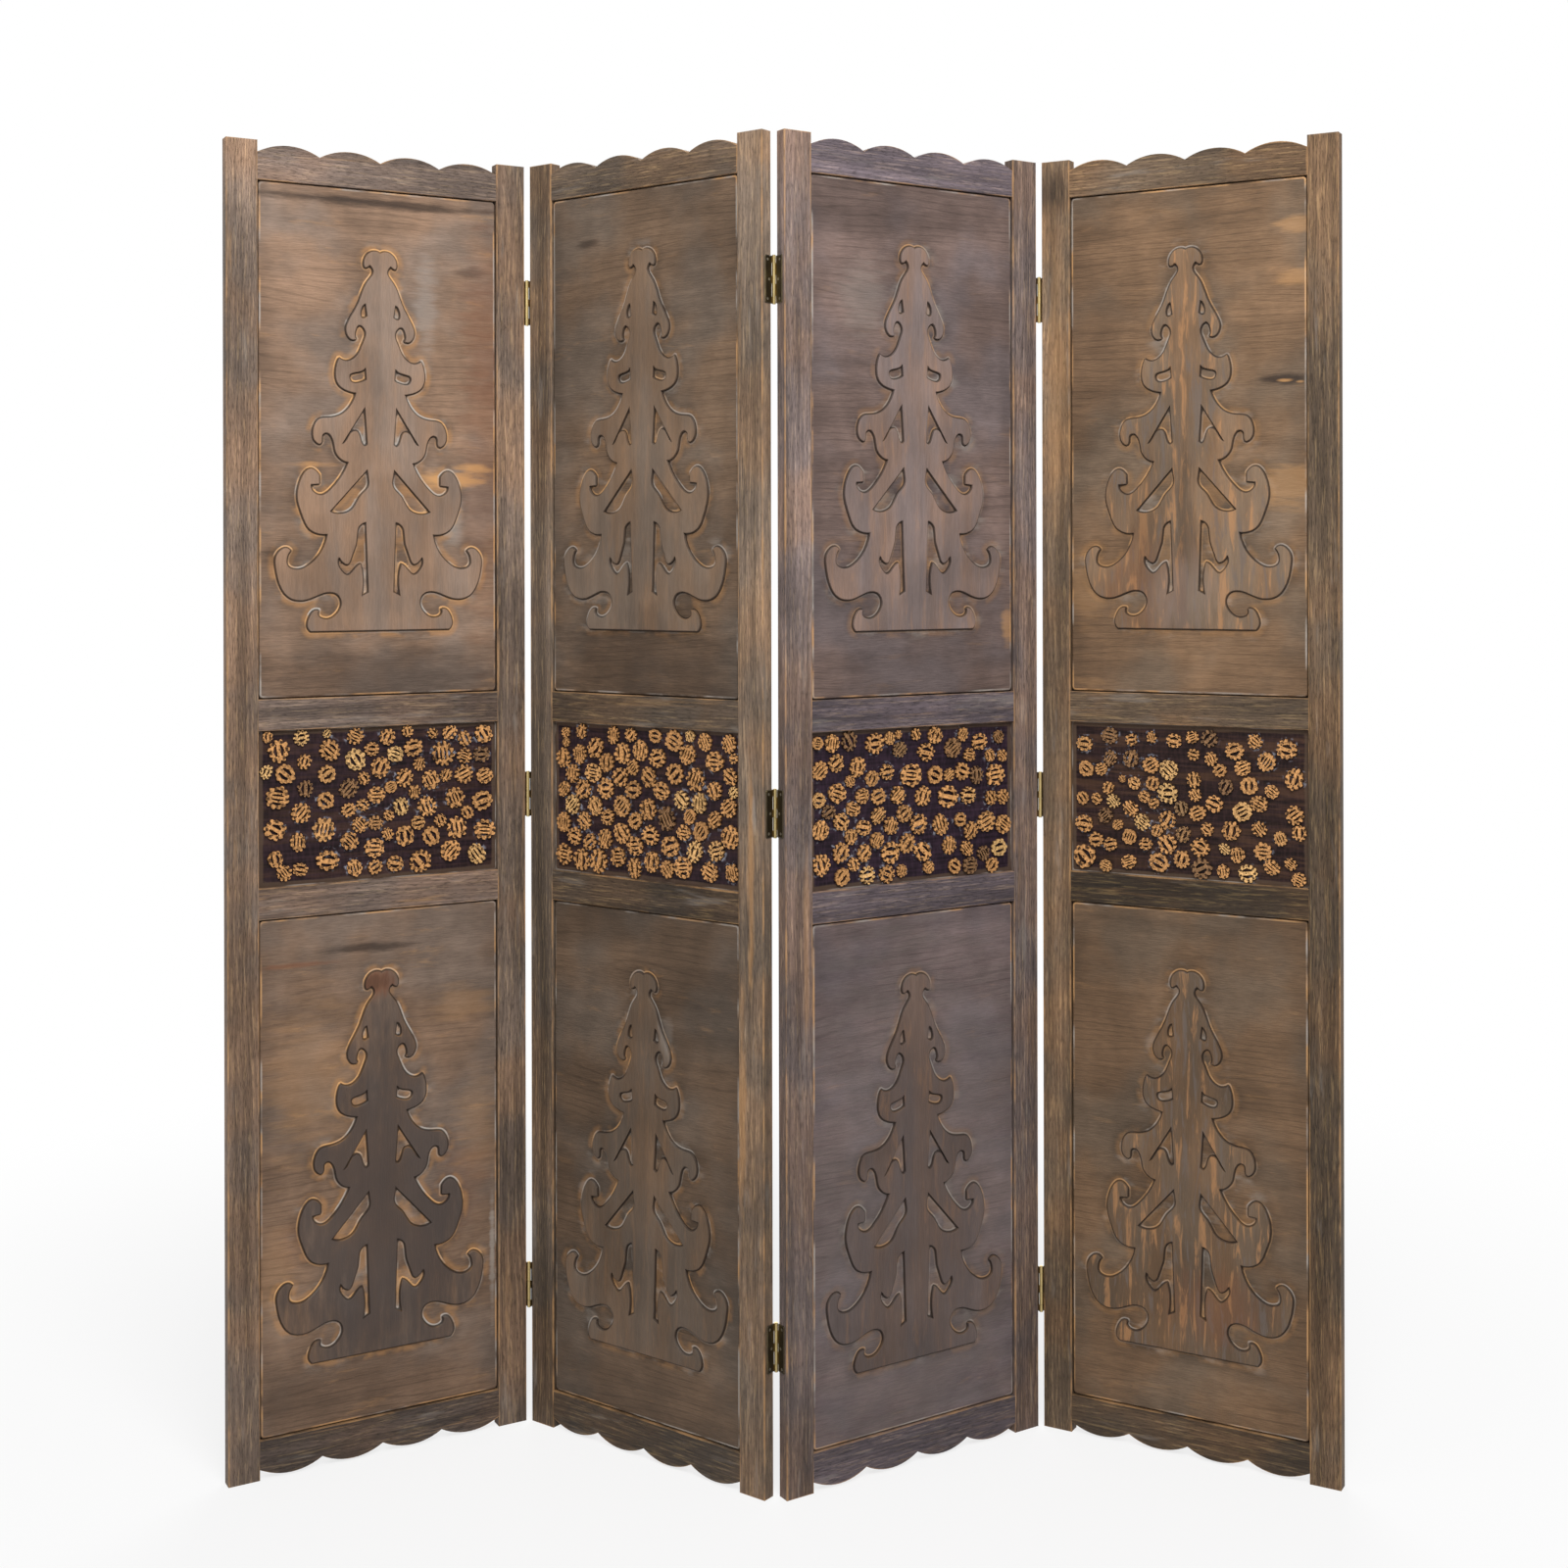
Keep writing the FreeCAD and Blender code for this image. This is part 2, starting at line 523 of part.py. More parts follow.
SLICE_SHARES = (
    (
        (0.038, 0.959, 0.62), (0.173, 0.944, 0.69), (0.277, 0.967, 0.58), (0.394, 0.939, 0.91),
        (0.526, 0.927, 0.73), (0.612, 0.957, 0.57), (0.721, 0.939, 0.47), (0.795, 0.937, 0.69),
        (0.858, 0.893, 0.66), (0.943, 0.916, 0.80), (0.083, 0.867, 1.06), (0.289, 0.857, 0.95),
        (0.185, 0.791, 0.66), (0.462, 0.852, 0.66), (0.394, 0.786, 0.95), (0.561, 0.811, 0.73),
        (0.639, 0.847, 0.87), (0.765, 0.796, 1.09), (0.858, 0.776, 0.77), (0.934, 0.781, 0.77),
        (0.032, 0.740, 0.73), (0.107, 0.719, 0.91), (0.277, 0.704, 0.77), (0.497, 0.730, 0.95),
        (0.663, 0.740, 0.62), (0.429, 0.663, 0.55), (0.598, 0.653, 0.95), (0.712, 0.628, 0.91),
        (0.778, 0.653, 0.62), (0.856, 0.653, 0.95), (0.948, 0.638, 0.73), (0.077, 0.571, 1.02),
        (0.190, 0.617, 0.73), (0.365, 0.602, 0.91), (0.542, 0.597, 0.66), (0.480, 0.551, 0.87),
        (0.271, 0.536, 0.77), (0.641, 0.556, 0.62), (0.816, 0.500, 0.91), (0.172, 0.464, 0.84),
        (0.365, 0.464, 0.69), (0.424, 0.490, 0.58), (0.585, 0.464, 0.98), (0.696, 0.454, 1.02),
        (0.936, 0.469, 1.02), (0.871, 0.398, 0.62), (0.067, 0.369, 0.91), (0.263, 0.347, 0.98),
        (0.411, 0.362, 0.69), (0.477, 0.367, 0.66), (0.533, 0.413, 0.58), (0.657, 0.352, 0.66),
        (0.754, 0.359, 0.58), (0.824, 0.301, 1.02), (0.159, 0.276, 0.77), (0.369, 0.265, 0.80),
        (0.528, 0.288, 0.58), (0.601, 0.270, 0.87), (0.714, 0.255, 0.84), (0.947, 0.276, 0.95),
        (0.474, 0.204, 0.87), (0.279, 0.148, 0.98), (0.067, 0.179, 0.77), (0.796, 0.153, 0.95),
        (0.911, 0.117, 0.91), (0.102, 0.087, 0.77), (0.167, 0.102, 0.69), (0.389, 0.084, 0.73),
        (0.475, 0.082, 0.69), (0.559, 0.092, 0.73), (0.666, 0.097, 0.98),
    ),
    (
        (0.067, 0.931, 0.66), (0.069, 0.864, 0.55), (0.156, 0.944, 0.80), (0.335, 0.934, 0.98),
        (0.429, 0.941, 0.66), (0.561, 0.944, 0.66), (0.661, 0.920, 0.98), (0.747, 0.957, 0.66),
        (0.821, 0.927, 0.77), (0.946, 0.923, 0.95), (0.236, 0.842, 1.02), (0.482, 0.842, 0.87),
        (0.732, 0.837, 0.87), (0.385, 0.816, 0.91), (0.871, 0.801, 0.95), (0.574, 0.801, 0.91),
        (0.969, 0.832, 0.55), (0.147, 0.791, 0.84), (0.054, 0.757, 0.95), (0.298, 0.745, 0.87),
        (0.441, 0.730, 0.77), (0.666, 0.709, 0.91), (0.950, 0.716, 0.98), (0.223, 0.673, 0.91),
        (0.107, 0.658, 0.91), (0.372, 0.658, 0.87), (0.525, 0.673, 0.98), (0.774, 0.682, 1.02),
        (0.871, 0.617, 0.80), (0.968, 0.620, 0.62), (0.443, 0.582, 0.91), (0.594, 0.592, 0.91),
        (0.293, 0.577, 0.91), (0.057, 0.551, 0.77), (0.166, 0.559, 0.95), (0.700, 0.543, 0.87),
        (0.793, 0.536, 0.87), (0.944, 0.520, 0.95), (0.105, 0.451, 0.95), (0.233, 0.457, 0.84),
        (0.381, 0.469, 0.95), (0.523, 0.464, 0.98), (0.743, 0.444, 0.69), (0.871, 0.436, 0.80),
        (0.623, 0.410, 1.06), (0.303, 0.388, 0.77), (0.454, 0.383, 0.84), (0.172, 0.352, 0.77),
        (0.802, 0.355, 0.87), (0.712, 0.335, 0.73), (0.950, 0.337, 0.95), (0.054, 0.327, 0.91),
        (0.381, 0.296, 0.95), (0.534, 0.294, 0.95), (0.118, 0.240, 0.84), (0.640, 0.240, 0.98),
        (0.287, 0.243, 0.87), (0.770, 0.224, 0.91), (0.880, 0.237, 0.84), (0.201, 0.214, 0.77),
        (0.453, 0.216, 0.95), (0.057, 0.114, 0.91), (0.360, 0.135, 0.84), (0.541, 0.128, 0.91),
        (0.156, 0.087, 0.95), (0.252, 0.094, 1.02), (0.708, 0.114, 0.95), (0.845, 0.104, 0.87),
        (0.960, 0.114, 0.91), (0.625, 0.092, 0.73), (0.450, 0.077, 0.91),
    ),
    (
        (0.031, 0.929, 0.66), (0.099, 0.923, 0.77), (0.180, 0.931, 0.91), (0.303, 0.906, 0.98),
        (0.376, 0.934, 0.62), (0.419, 0.954, 0.40), (0.426, 0.860, 0.73), (0.504, 0.949, 0.55),
        (0.601, 0.937, 0.91), (0.556, 0.832, 0.98), (0.692, 0.847, 0.98), (0.743, 0.931, 0.66),
        (0.829, 0.876, 0.84), (0.928, 0.903, 0.58), (0.883, 0.781, 0.58), (0.947, 0.776, 0.55),
        (0.778, 0.796, 0.66), (0.042, 0.755, 0.91), (0.118, 0.796, 0.80), (0.220, 0.765, 0.95),
        (0.185, 0.679, 0.55), (0.290, 0.684, 0.69), (0.362, 0.719, 0.73), (0.482, 0.689, 1.09),
        (0.599, 0.679, 0.77), (0.671, 0.673, 0.58), (0.739, 0.691, 0.80), (0.813, 0.660, 0.77),
        (0.909, 0.648, 0.98), (0.035, 0.571, 0.77), (0.122, 0.607, 0.87), (0.242, 0.577, 0.73),
        (0.322, 0.566, 0.73), (0.415, 0.566, 0.77), (0.541, 0.546, 0.84), (0.666, 0.531, 1.02),
        (0.770, 0.531, 0.84), (0.888, 0.500, 0.77), (0.950, 0.500, 0.80), (0.083, 0.492, 0.66),
        (0.196, 0.500, 0.73), (0.319, 0.444, 0.84), (0.446, 0.444, 0.87), (0.142, 0.423, 0.77),
        (0.043, 0.378, 0.95), (0.249, 0.376, 0.80), (0.381, 0.372, 0.84), (0.518, 0.367, 0.95),
        (0.628, 0.352, 0.91), (0.729, 0.372, 0.62), (0.865, 0.347, 1.02), (0.953, 0.316, 0.87),
        (0.188, 0.327, 0.73), (0.783, 0.296, 0.84), (0.312, 0.286, 0.69), (0.460, 0.250, 0.87),
        (0.139, 0.230, 0.95), (0.252, 0.214, 0.84), (0.379, 0.199, 0.98), (0.539, 0.189, 0.87),
        (0.672, 0.212, 0.77), (0.762, 0.179, 0.80), (0.046, 0.163, 0.95), (0.201, 0.148, 0.69),
        (0.850, 0.138, 0.73), (0.931, 0.163, 0.84), (0.145, 0.077, 0.73), (0.267, 0.069, 0.80),
        (0.360, 0.066, 0.80), (0.434, 0.077, 0.55), (0.568, 0.082, 0.55), (0.698, 0.071, 0.66),
        (0.778, 0.066, 0.91), (0.893, 0.056, 0.77),
    ),
    (
        (0.059, 0.852, 0.73), (0.169, 0.913, 0.77), (0.265, 0.893, 0.55), (0.351, 0.913, 0.51),
        (0.446, 0.898, 0.66), (0.523, 0.923, 0.58), (0.595, 0.920, 0.73), (0.529, 0.811, 0.55),
        (0.698, 0.847, 0.80), (0.783, 0.913, 0.66), (0.912, 0.869, 0.87), (0.172, 0.763, 0.73),
        (0.261, 0.765, 0.77), (0.348, 0.730, 0.84), (0.424, 0.704, 0.98), (0.603, 0.788, 0.73),
        (0.832, 0.786, 0.80), (0.066, 0.686, 0.73), (0.131, 0.689, 0.58), (0.640, 0.716, 0.77),
        (0.733, 0.740, 0.84), (0.941, 0.682, 0.91), (0.223, 0.631, 0.33), (0.276, 0.607, 0.58),
        (0.354, 0.610, 0.62), (0.531, 0.648, 0.91), (0.663, 0.612, 0.66), (0.758, 0.628, 0.91),
        (0.851, 0.597, 0.62), (0.163, 0.566, 0.62), (0.319, 0.520, 0.69), (0.421, 0.551, 0.91),
        (0.536, 0.551, 0.84), (0.050, 0.492, 0.58), (0.112, 0.490, 0.51), (0.185, 0.480, 0.73),
        (0.360, 0.480, 0.66), (0.614, 0.498, 0.77), (0.800, 0.515, 0.77), (0.261, 0.437, 0.77),
        (0.477, 0.459, 0.69), (0.730, 0.459, 0.87), (0.943, 0.457, 0.84), (0.545, 0.434, 0.84),
        (0.150, 0.378, 0.69), (0.312, 0.355, 0.73), (0.418, 0.378, 0.80), (0.585, 0.332, 0.58),
        (0.686, 0.332, 0.84), (0.800, 0.357, 0.66), (0.962, 0.347, 0.69), (0.057, 0.321, 0.77),
        (0.204, 0.327, 0.51), (0.373, 0.301, 0.55), (0.485, 0.291, 0.73), (0.886, 0.301, 0.62),
        (0.107, 0.219, 0.73), (0.255, 0.253, 0.66), (0.171, 0.192, 0.62), (0.325, 0.209, 0.58),
        (0.418, 0.216, 0.95), (0.557, 0.214, 0.87), (0.657, 0.214, 0.58), (0.711, 0.179, 0.77),
        (0.816, 0.214, 0.77), (0.925, 0.143, 0.55), (0.851, 0.117, 0.69), (0.057, 0.102, 1.02),
        (0.251, 0.087, 0.69), (0.381, 0.094, 0.98), (0.478, 0.128, 0.77), (0.561, 0.077, 0.95),
        (0.651, 0.066, 0.58), (0.751, 0.066, 0.87), (0.960, 0.051, 0.69), (0.151, 0.051, 0.58),
    ),
)
FEWEST_TEETH = 9
TOOTH_STEPS = 4
SLICE_SPIN = 137.5
VALLEY_SHARE = 0.86
CHAMBER_HALF_SHARE = 0.56
CHAMBER_LINE_SHARE = 0.2
CHAMBER_INNER_SHARE = 0.12
CHAMBER_OUTER_SHARE = 0.5


def slice_circles(shares):
    """Give each slice's centre and radius, each one trimmed to clear the frame and its neighbours."""
    width, height, gap = value(OPENING_WIDTH), value("board_height"), value("slice_spacing")
    circles = []
    for across, up, size in shares:
        x, z = across * width, up * height
        edge = min(x, width - x, z, height - z) - gap
        circles.append([x, z, min(size * value("slice_size") / 2, edge)])
    for number, one in enumerate(circles):
        for other in circles[:number]:
            room = (math.hypot(one[0] - other[0], one[1] - other[1]) - gap) / (one[2] + other[2])
            one[2] *= min(room, 1)
            other[2] *= min(room, 1)
    return circles


def slice_face(x, z, radius, number):
    """Draw one slice: a toothed shell rim round two nut chambers, turned by its number."""
    teeth = FEWEST_TEETH + number % TOOTH_STEPS
    turn = Rotation(Vector(0, 1, 0), number * SLICE_SPIN)

    def spot(across, up):
        return Vector(x, 0, z) + turn.multVec(Vector(across, 0, up)) * radius

    reach = [1 if step % 2 else VALLEY_SHARE for step in range(2 * teeth)]
    angles = [math.pi * step / teeth for step in range(2 * teeth)]
    rim = [spot(far * math.cos(angle), far * math.sin(angle)) for far, angle in zip(reach, angles)]
    wires = [Part.makePolygon(rim + rim[:1])]
    for way in (-1, 1):
        tips = [spot(end * CHAMBER_HALF_SHARE, way * CHAMBER_LINE_SHARE) for end in (-1, 1)]
        inner = Part.Arc(tips[0], spot(0, way * CHAMBER_INNER_SHARE), tips[1])
        outer = Part.Arc(tips[1], spot(0, way * CHAMBER_OUTER_SHARE), tips[0])
        wires.append(Part.Wire([inner.toShape(), outer.toShape()]))
    return Part.makeFace(wires, "Part::FaceMakerBullseye")


def build_nut_slices(leaf, shares):
    """Cut the leaf's slices to their thickness, standing on the front of the board."""
    name = f"leaf_{leaf}_nut_slices"
    outlines = doc.addObject("Part::Feature", name + "_outlines")
    circles = enumerate(slice_circles(shares))
    faces = [slice_face(x, z, radius, number) for number, (x, z, radius) in circles]
    outlines.Shape = Part.makeCompound(faces)
    slices = doc.addObject("Part::Extrusion", name)
    slices.Label = name
    slices.Base = outlines
    slices.DirMode = "Custom"
    slices.Dir = Vector(0, -1, 0)
    slices.Solid = True
    bind(slices, "LengthFwd", "slice_thickness")
    board_face = Vector(value("stile_width"), -value("tongue_thickness / 2"), value(BOARD_BASE))
    finish_part(slices, leaf, board_face)


# Fir trees: the right half's outline from the tip down, in shares of the half width and the height.
# Each row is one smooth stretch and the rows meet at the outline's points.

OUTLINE_SHARES = (
    ((0, 0.996), (0.072, 1), (0.159, 0.974), (0.152, 0.956), (0.101, 0.962)),
    (
        (0.101, 0.962), (0.072, 0.943), (0.123, 0.921), (0.217, 0.861), (0.312, 0.812), (0.333, 0.786),
        (0.283, 0.764), (0.232, 0.766),
    ),
    (
        (0.232, 0.766), (0.239, 0.788), (0.203, 0.802), (0.152, 0.79), (0.174, 0.756), (0.217, 0.729),
        (0.304, 0.709), (0.399, 0.715),
    ),
    ((0.399, 0.715), (0.435, 0.679), (0.406, 0.644), (0.312, 0.628), (0.239, 0.624)),
    (
        (0.239, 0.624), (0.283, 0.596), (0.377, 0.568), (0.5, 0.558), (0.587, 0.554), (0.645, 0.529),
        (0.63, 0.495), (0.587, 0.487),
    ),
    (
        (0.587, 0.487), (0.565, 0.491), (0.551, 0.513), (0.522, 0.517), (0.464, 0.501), (0.435, 0.467),
        (0.377, 0.448), (0.312, 0.442),
    ),
    (
        (0.312, 0.442), (0.362, 0.414), (0.464, 0.376), (0.587, 0.356), (0.659, 0.37), (0.667, 0.382),
    ),
    ((0.667, 0.382), (0.587, 0.384)),
    ((0.587, 0.384), (0.587, 0.408)),
    (
        (0.587, 0.408), (0.667, 0.424), (0.797, 0.358), (0.754, 0.303), (0.681, 0.265), (0.587, 0.253),
        (0.514, 0.253),
    ),
    (
        (0.514, 0.253), (0.529, 0.236), (0.587, 0.202), (0.696, 0.172), (0.79, 0.162), (0.884, 0.172),
        (0.891, 0.19), (0.855, 0.21),
    ),
    (
        (0.855, 0.21), (0.899, 0.218), (0.993, 0.198), (1, 0.166), (0.964, 0.123), (0.877, 0.089),
        (0.739, 0.081), (0.623, 0.091), (0.514, 0.101), (0.42, 0.095), (0.384, 0.075), (0.42, 0.048),
        (0.529, 0.032), (0.594, 0.04), (0.594, 0.055),
    ),
    ((0.594, 0.055), (0.638, 0.055), (0.688, 0.038), (0.703, 0.012), (0.674, 0)),
    ((0.674, 0), (0, 0)),
)
OPENING_SHARES = (
    (
        ((0.145, 0.859), (0.188, 0.84), (0.181, 0.824), (0.13, 0.828)),
        ((0.13, 0.828), (0.145, 0.859)),
    ),
    (
        (
            (0.145, 0.693), (0.217, 0.679), (0.297, 0.669), (0.283, 0.655), (0.203, 0.653), (0.138, 0.661),
        ),
        ((0.138, 0.661), (0.145, 0.693)),
    ),
    (
        ((0.152, 0.588), (0.372, 0.49)),
        (
            (0.372, 0.49), (0.319, 0.507), (0.275, 0.523), (0.232, 0.525), (0.199, 0.511), (0.184, 0.497),
            (0.159, 0.487), (0.13, 0.491),
        ),
        ((0.13, 0.491), (0.152, 0.588)),
    ),
    (
        ((0.13, 0.424), (0.486, 0.313)),
        (
            (0.486, 0.313), (0.391, 0.307), (0.283, 0.319), (0.196, 0.356), (0.13, 0.376), (0.116, 0.394),
        ),
        ((0.116, 0.394), (0.13, 0.424)),
    ),
    (
        (
            (0.145, 0.285), (0.217, 0.269), (0.232, 0.236), (0.275, 0.198), (0.326, 0.174), (0.37, 0.18),
            (0.399, 0.194),
        ),
        (
            (0.399, 0.194), (0.413, 0.18), (0.377, 0.158), (0.326, 0.147), (0.254, 0.164), (0.196, 0.176),
        ),
        ((0.196, 0.176), (0.181, 0.16), (0.188, 0.091)),
        ((0.188, 0.091), (0.123, 0.101)),
        ((0.123, 0.101), (0.145, 0.285)),
    ),
)


def add_stretches(sketch, stretches, way):
    """Draw smooth stretches through points given in shares, on one side of the trunk's middle."""
    half, height = way * value(TREE_HALF_WIDTH), value(TREE_HEIGHT)
    for shares in stretches:
        points = [Vector(across * half, up * height) for across, up in shares]
        if len(points) == 2:
            sketch.addGeometry(Part.LineSegment(*points))
        else:
            curve = Part.BSplineCurve()
            curve.interpolate(points)
            sketch.addGeometry(curve)


def build_fir_trees(leaf):
    """Saw the leaf's two trees, one lying on the raised field of each panel."""
    body = new_body(f"leaf_{leaf}_fir_trees")
    tree = new_sketch(body, "tree_face", FRONT_PLANE, FIELD_FACE)
    for way in (-1, 1):
        add_stretches(tree, OUTLINE_SHARES, way)
        for opening in OPENING_SHARES:
            add_stretches(tree, opening, way)
    add_feature(body, "Pad", "tree", tree, "tree_thickness")
    repeat_up(body, tree, PANEL_STEP, TREE_COUNT)
    base = f"{LOWER_PANEL_BASE} + tree_base_margin"
    finish_part(body, leaf, Vector(value("leaf_width / 2"), 0, value(base)))


# Butt hinges, drawn about the pin: the plate lies right of it, the wood's edge face beyond the plate,
# and Y runs from the pin over the leaf's thickness. The middle hinge is at Z 0.

MIDDLE_HALF = "(middle_knuckle / 2)"
LONG_LOW = f"({MIDDLE_HALF} + knuckle_gap)"
LONG_HIGH = f"({MIDDLE_HALF} + long_knuckle - knuckle_gap)"
END_LOW = f"({MIDDLE_HALF} + long_knuckle)"
KNUCKLES = {
    "three_knuckle": (
        (f"-{HINGE_HALF}", f"-{END_LOW}"),
        (f"-{MIDDLE_HALF}", MIDDLE_HALF),
        (END_LOW, HINGE_HALF),
    ),
    "two_knuckle": (
        (f"-{LONG_HIGH}", f"-{LONG_LOW}"),
        (LONG_LOW, LONG_HIGH),
    ),
}


def build_plates(name, kind, leaf, spin, origin):
    """Make the three plates of one kind on a hinge line, with their knuckles and screw holes."""
    body = new_body(f"{name}_{kind}_plates")
    flat = new_sketch(body, "flat_face", SIDE_PLANE, PLATE_FACE)
    add_rectangle(flat, PLATE_START, f"-{HINGE_HALF}", "plate_width", HINGE_HALF)
    plate = add_feature(body, "Pad", "flat", flat, "plate_thickness")
    reach = value("plate_width")

    def at_outer_corner(edge):
        return runs_along(edge, Vector(1, 0, 0)) and abs(edge.BoundBox.YMax - reach) < value("groove_slip")

    round_edges(body, plate, "soft_corners", "plate_corner", at_outer_corner)
    webs = new_sketch(body, "web_faces", SIDE_PLANE, PLATE_FACE)
    rolls = new_sketch(body, "roll_faces", SIDE_PLANE)
    for low, high in KNUCKLES[kind]:
        add_rectangle(webs, "0", low, f"{PLATE_START} + plate_corner", high)
        add_rectangle(rolls, "0", low, "knuckle_radius", high)
    add_feature(body, "Pad", "webs", webs, "plate_thickness")
    add_turning(body, "knuckles", rolls, "V_Axis")
    bore = new_sketch(body, "bore_mark", FLOOR_PLANE)
    add_circle(bore, "0", "0", "pin_radius + pin_slip")
    cut_away(body, "bore", bore, f"2 * ({HINGE_HALF} + cut_overrun)", both_ways=True)
    holes = new_sketch(body, "hole_marks", SIDE_PLANE, PLATE_FACE)
    for across, up in SCREW_PLACES:
        add_circle(holes, across, up, "shank_radius + screw_slip")
    drilled = cut_away(body, "screw_holes", holes, "plate_thickness + cut_overrun", turned=True)
    sink_holes(body, drilled)
    repeat_up(body, rolls, f"2 * {HINGE_STEP}", HINGE_COUNT)
    finish_part(body, leaf, origin, spin)


def sink_holes(body, drilled):
    """Countersink the screw holes on the plate's open face."""
    face = value(PLATE_FACE)

    def at_mouth(edge):
        return edge.Curve.TypeId == "Part::GeomCircle" and lies_at_side(edge, face)

    edges = enumerate(drilled.Shape.Edges, start=1)
    names = [f"Edge{number}" for number, edge in edges if at_mouth(edge)]
    sinks = body.newObject("PartDesign::Chamfer", "countersinks")
    sinks.Base = (drilled, names)
    bind(sinks, "Size", "screw_head_radius - shank_radius")


def build_pins(name, leaf, spin, origin):
    """Turn the three pins of a hinge line, each with a flat head at both ends."""
    body = new_body(f"{name}_pins")
    profile = new_sketch(body, "profile", FRONT_PLANE)
    top, tip = HINGE_HALF, f"({HINGE_HALF} + pin_head_height)"
    corners = (
        ("0", f"-{tip}"), ("pin_head_radius", f"-{tip}"),
        ("pin_head_radius", f"-{top}"), ("pin_radius", f"-{top}"),
        ("pin_radius", top), ("pin_head_radius", top),
        ("pin_head_radius", tip), ("0", tip),
    )
    add_outline(profile, corners)
    add_turning(body, "pin", profile, "V_Axis")
    repeat_up(body, profile, f"2 * {HINGE_STEP}", HINGE_COUNT)
    finish_part(body, leaf, origin, spin)


def build_screws(name, leaf, spin, origin):
    """Turn the nine screws that hold a leaf's three plates, each with a slot across its head."""
    body = new_body(f"{name}_screws_in_leaf_{leaf}")
    end = f"({PLATE_FACE} + screw_length)"
    corners = (
        (PLATE_FACE, "0"), (PLATE_FACE, "screw_head_radius"),
        (f"{PLATE_FACE} + screw_head_radius - shank_radius", "shank_radius"),
        (f"{end} - screw_tip", "shank_radius"), (end, "0"),
    )
    slots = new_sketch(body, "slot_marks", SIDE_PLANE, PLATE_FACE)
    for number, (across, up) in enumerate(SCREW_PLACES, start=1):
        profile = new_sketch(body, f"profile_{number}", FRONT_PLANE, f"-{across}")
        bind(profile, ".AttachmentOffset.Base.y", up)
        add_outline(profile, corners)
        add_turning(body, f"screw_{number}", profile, "H_Axis")
        left, right = f"{across} - slot_width / 2", f"{across} + slot_width / 2"
        add_rectangle(slots, left, f"{up} - screw_head_radius", right, f"{up} + screw_head_radius")
    cut_away(body, "slots", slots, "slot_depth", turned=True)
    repeat_up(body, slots, f"2 * {HINGE_STEP}", HINGE_COUNT)
    finish_part(body, leaf, origin, spin)


def build_hinge_line(name, left_leaf, right_leaf, face):
    """Hang two leaves together: plates on both edges, the pins and the screws."""
    spins = {
        (RIGHT, FRONT): HALF_TURN_ABOUT_Y,
        (LEFT, FRONT): NO_TURN,
        (RIGHT, BACK): HALF_TURN_ABOUT_Z,
        (LEFT, BACK): HALF_TURN_ABOUT_X,
    }
    carrier = PIN_CARRIER[name]
    for leaf, side in ((left_leaf, RIGHT), (right_leaf, LEFT)):
        spin = spins[side, face]
        lowest = Vector(0, 0, value(f"leaf_height / 2 - {HINGE_STEP}"))
        origin = pin_in_leaf(side, face) + lowest
        if spin.multVec(Vector(0, 0, 1)).z < 0:
            origin = pin_in_leaf(side, face) + Vector(0, 0, value(f"leaf_height / 2 + {HINGE_STEP}"))
        kind = "three_knuckle" if leaf == carrier else "two_knuckle"
        build_plates(name, kind, leaf, spin, origin)
        build_screws(name, leaf, spin, origin)
        if leaf == carrier:
            build_pins(name, leaf, spin, origin)


# The whole screen

for leaf in LEAVES:
    build_stile(leaf, LEFT, HINGE_FACE.get((leaf, LEFT)))
    build_stile(leaf, RIGHT, HINGE_FACE.get((leaf, RIGHT)))
    for rail in RAIL_LIST:
        build_rail(leaf, *rail)
    build_panel(leaf, "lower_panel", LOWER_PANEL_BASE)
    build_panel(leaf, "upper_panel", UPPER_PANEL_BASE)
    build_slice_board(leaf)
    build_nut_slices(leaf, SLICE_SHARES[leaf - 1])
    build_fir_trees(leaf)
for line in HINGE_LINES:
    build_hinge_line(*line)
doc.recompute()

failed = [thing.Name for thing in doc.Objects if {"Invalid", "Error"} & set(thing.State)]
if failed:
    raise ValueError(f"not rebuilt: {failed}")
for piece in parts:
    if piece.Shape.isNull() or not piece.Shape.isValid():
        raise ValueError(f"bad shape: {piece.Label}")
for piece in parts:
    piece.Shape.exportStep(f"parts/{piece.Label}.step")
box = Part.makeCompound([piece.Shape for piece in parts]).BoundBox
print(f"{len(parts)} parts, {box.XLength:.1f} wide, {box.YLength:.1f} deep, {box.ZLength:.1f} high")
print(f"lowest corner {box.XMin:.2f}, {box.YMin:.2f}, {box.ZMin:.2f}")
print(f"highest corner {box.XMax:.2f}, {box.YMax:.2f}, {box.ZMax:.2f}")
for name, place in PIN.items():
    place = place - CENTRE
    print(f"{name} pin at {place.x:.4f}, {place.y:.4f}")
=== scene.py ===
import math
import random

import bmesh
import bpy
from bpy.props import FloatProperty, FloatVectorProperty, IntProperty, PointerProperty
from mathutils import Matrix, Vector
from mathutils.bvhtree import BVHTree
from mathutils.geometry import intersect_point_line
from mathutils.kdtree import KDTree


